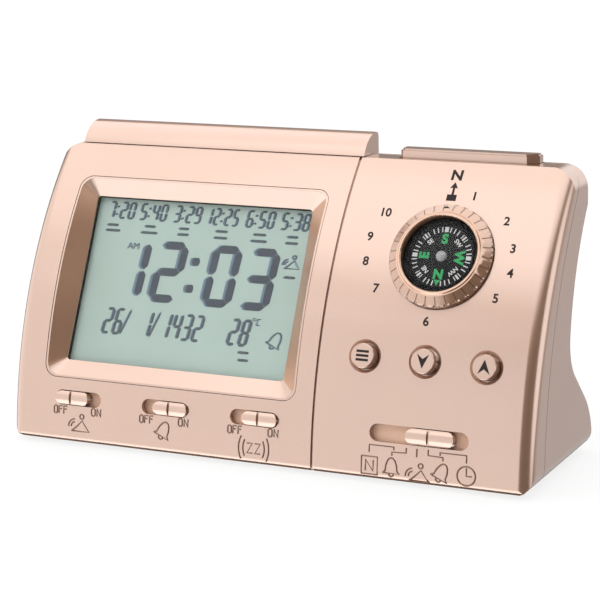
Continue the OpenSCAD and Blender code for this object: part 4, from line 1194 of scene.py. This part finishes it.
def floor_white():
    """White floor with the clock's shadow; what mirrors it sees the studio below instead."""
    m = bpy.data.materials.new("floor_white")
    m.use_nodes = True
    tree = m.node_tree
    grain = new_node(tree, 'TexNoise', Scale=FLOOR_GRAIN)
    pale = new_node(tree, 'MapRange', Value=grain.outputs['Fac'], To_Min=FLOOR_LOW, To_Max=FLOOR_HIGH)
    shader = tree.nodes['Principled BSDF']
    fed(tree, shader.inputs['Roughness'], FLOOR_ROUGH)
    fed(tree, shader.inputs['Base Color'], pale.outputs['Result'])
    glow = new_node(tree, 'Emission', Color=(1, 1, 1, 1))
    path = new_node(tree, 'LightPath').outputs
    seen = new_node(tree, 'MixShader', Fac=maths(tree, 'MULTIPLY', path['Is Camera Ray'], SEEN_WHITE))
    mirrored = new_node(tree, 'MixShader', Fac=path['Is Glossy Ray'])
    for mix, first, second in ((seen, shader.outputs['BSDF'], glow.outputs['Emission']),
                               (mirrored, seen.outputs['Shader'],
                                new_node(tree, 'BsdfTransparent').outputs['BSDF'])):
        fed(tree, mix.inputs[1], first)
        fed(tree, mix.inputs[2], second)
    fed(tree, tree.nodes['Material Output'].inputs['Surface'], mirrored.outputs['Shader'])
    return m


# Soft boxes that the paint mirrors: direction, cosines where each starts and is full, brightness
SOFT_BOXES = (((-0.15, 0.00, 0.98), 0.46, 0.80, 1.95),
              ((-0.84, -0.50, -0.12), 0.48, 0.72, 1.55),
              ((0.985, 0.09, 0.14), 0.88, 0.96, 1.9),
              ((-0.30, 0.94, 0.15), 0.72, 0.88, 0.22),
              ((0.40, 0.88, -0.24), 0.72, 0.93, 0.60),
              ((0.25, 0.90, 0.36), 0.86, 0.95, 1.3),
              ((-0.36, -0.62, -0.70), 0.86, 0.94, 2.9))
# Brightness between the boxes
DIM = 0.06
# Share of plain white in the floor as the camera sees it
SEEN_WHITE = 0.82
# Floor: size (metres), scale of its grain, the grain's brightness and its roughness
FLOOR_SIZE, FLOOR_GRAIN, FLOOR_LOW, FLOOR_HIGH, FLOOR_ROUGH = 4, 3, 0.84, 0.87, 0.9
# Key light: place and where it points (metres), size and power
KEY_LIGHT_AT, KEY_LIGHT_TO = (-0.25, -0.75, 0.95), (0, 0, 0.04)
KEY_LIGHT_SIZE, KEY_LIGHT_POWER = 0.9, 0.8
# Camera at the photograph's angle: place (metres), its axes before the roll (degrees), lens and sensor (mm)
CAMERA_AT = (0.29878, -0.61017, 0.20474)
FORWARD = Vector((-0.42564, 0.87687, -0.22347))
RIGHT = Vector((0.89962, 0.43668, 0))
UP = Vector((-0.09759, 0.20104, 0.97472))
ROLL = -1.292
LENS, SENSOR = 128.07, 36


def studio_world(scene):
    """White to the camera; soft boxes all round for what the paint mirrors."""
    world = bpy.data.worlds.new("studio")
    scene.world = world
    world.use_nodes = True
    tree = world.node_tree
    coords = new_node(tree, 'TexCoord').outputs['Generated']
    light = DIM
    for direction, start, full, level in SOFT_BOXES:
        facing = new_node(tree, 'VectorMath', [("operation", 'DOT_PRODUCT')])
        fed(tree, facing.inputs[0], coords)
        fed(tree, facing.inputs[1], Vector(direction).normalized())
        ramp = new_node(tree, 'MapRange', [("interpolation_type", 'SMOOTHSTEP')],
                        Value=facing.outputs['Value'], From_Min=start, From_Max=full, To_Max=level)
        light = maths(tree, 'MAXIMUM', ramp.outputs['Result'], light)
    camera_ray = new_node(tree, 'LightPath').outputs['Is Camera Ray']
    seen = new_node(tree, 'Mix', Factor=camera_ray, A=light, B=1.0)
    background = tree.nodes['Background'].inputs
    fed(tree, background['Strength'], seen.outputs['Result'])
    fed(tree, background['Color'], (1, 1, 1, 1))


class CLOCK_OT_stage(bpy.types.Operator):
    """Floor, light, world and camera"""
    bl_idname = "clock.stage"
    bl_label = "Stage"

    def execute(self, context):
        scene = context.scene
        scene.view_settings.view_transform = 'Standard'
        clear_selection()
        bpy.ops.mesh.primitive_plane_add(size=FLOOR_SIZE, location=(0, 0, 0))
        floor = taken("floor")
        give(floor, floor_white())
        studio_world(scene)
        bpy.ops.object.light_add(type='AREA', location=KEY_LIGHT_AT)
        light = bpy.context.object
        light.name = "key_light"
        light.data.size = KEY_LIGHT_SIZE
        light.data.energy = KEY_LIGHT_POWER
        aim = Vector(KEY_LIGHT_TO) - Vector(KEY_LIGHT_AT)
        light.rotation_euler = aim.to_track_quat('-Z', 'Y').to_euler()
        bpy.ops.object.camera_add()
        camera = bpy.context.object
        cos, sin = math.cos(math.radians(ROLL)), math.sin(math.radians(ROLL))
        m = Matrix((RIGHT * cos + UP * sin, UP * cos - RIGHT * sin, -FORWARD)).transposed().to_4x4()
        m.translation = Vector(CAMERA_AT)
        camera.matrix_world = m
        camera.data.lens = LENS
        camera.data.sensor_width = SENSOR
        scene.camera = camera
        return {'FINISHED'}


class CLOCK_PT_panel(bpy.types.Panel):
    """Lists the steps that dress the clock"""
    bl_idname = "CLOCK_PT_panel"
    bl_label = "Clock"
    bl_space_type = 'VIEW_3D'
    bl_region_type = 'UI'
    bl_category = "Clock"

    def draw(self, context):
        for group_of in (context.scene.clock_sizes, context.scene.clock_colours):
            for name in group_of.bl_rna.properties.keys():
                if name not in ("rna_type", "name"):
                    self.layout.prop(group_of, name)
        for step in STEPS:
            self.layout.operator(step.bl_idname)


STEPS = (CLOCK_OT_case, CLOCK_OT_display, CLOCK_OT_dial, CLOCK_OT_prints, CLOCK_OT_signs, CLOCK_OT_stage)
CLASSES = (ClockSizes, ClockColours) + STEPS + (CLOCK_PT_panel,)


def register():
    for cls in CLASSES:
        bpy.utils.register_class(cls)
    bpy.types.Scene.clock_sizes = PointerProperty(type=ClockSizes)
    bpy.types.Scene.clock_colours = PointerProperty(type=ClockColours)


def unregister():
    del bpy.types.Scene.clock_colours
    del bpy.types.Scene.clock_sizes
    for cls in reversed(CLASSES):
        bpy.utils.unregister_class(cls)


def main():
    register()
    for step in STEPS:
        family, name = step.bl_idname.split(".")
        getattr(getattr(bpy.ops, family), name)()


if __name__ == "__main__":
    main()
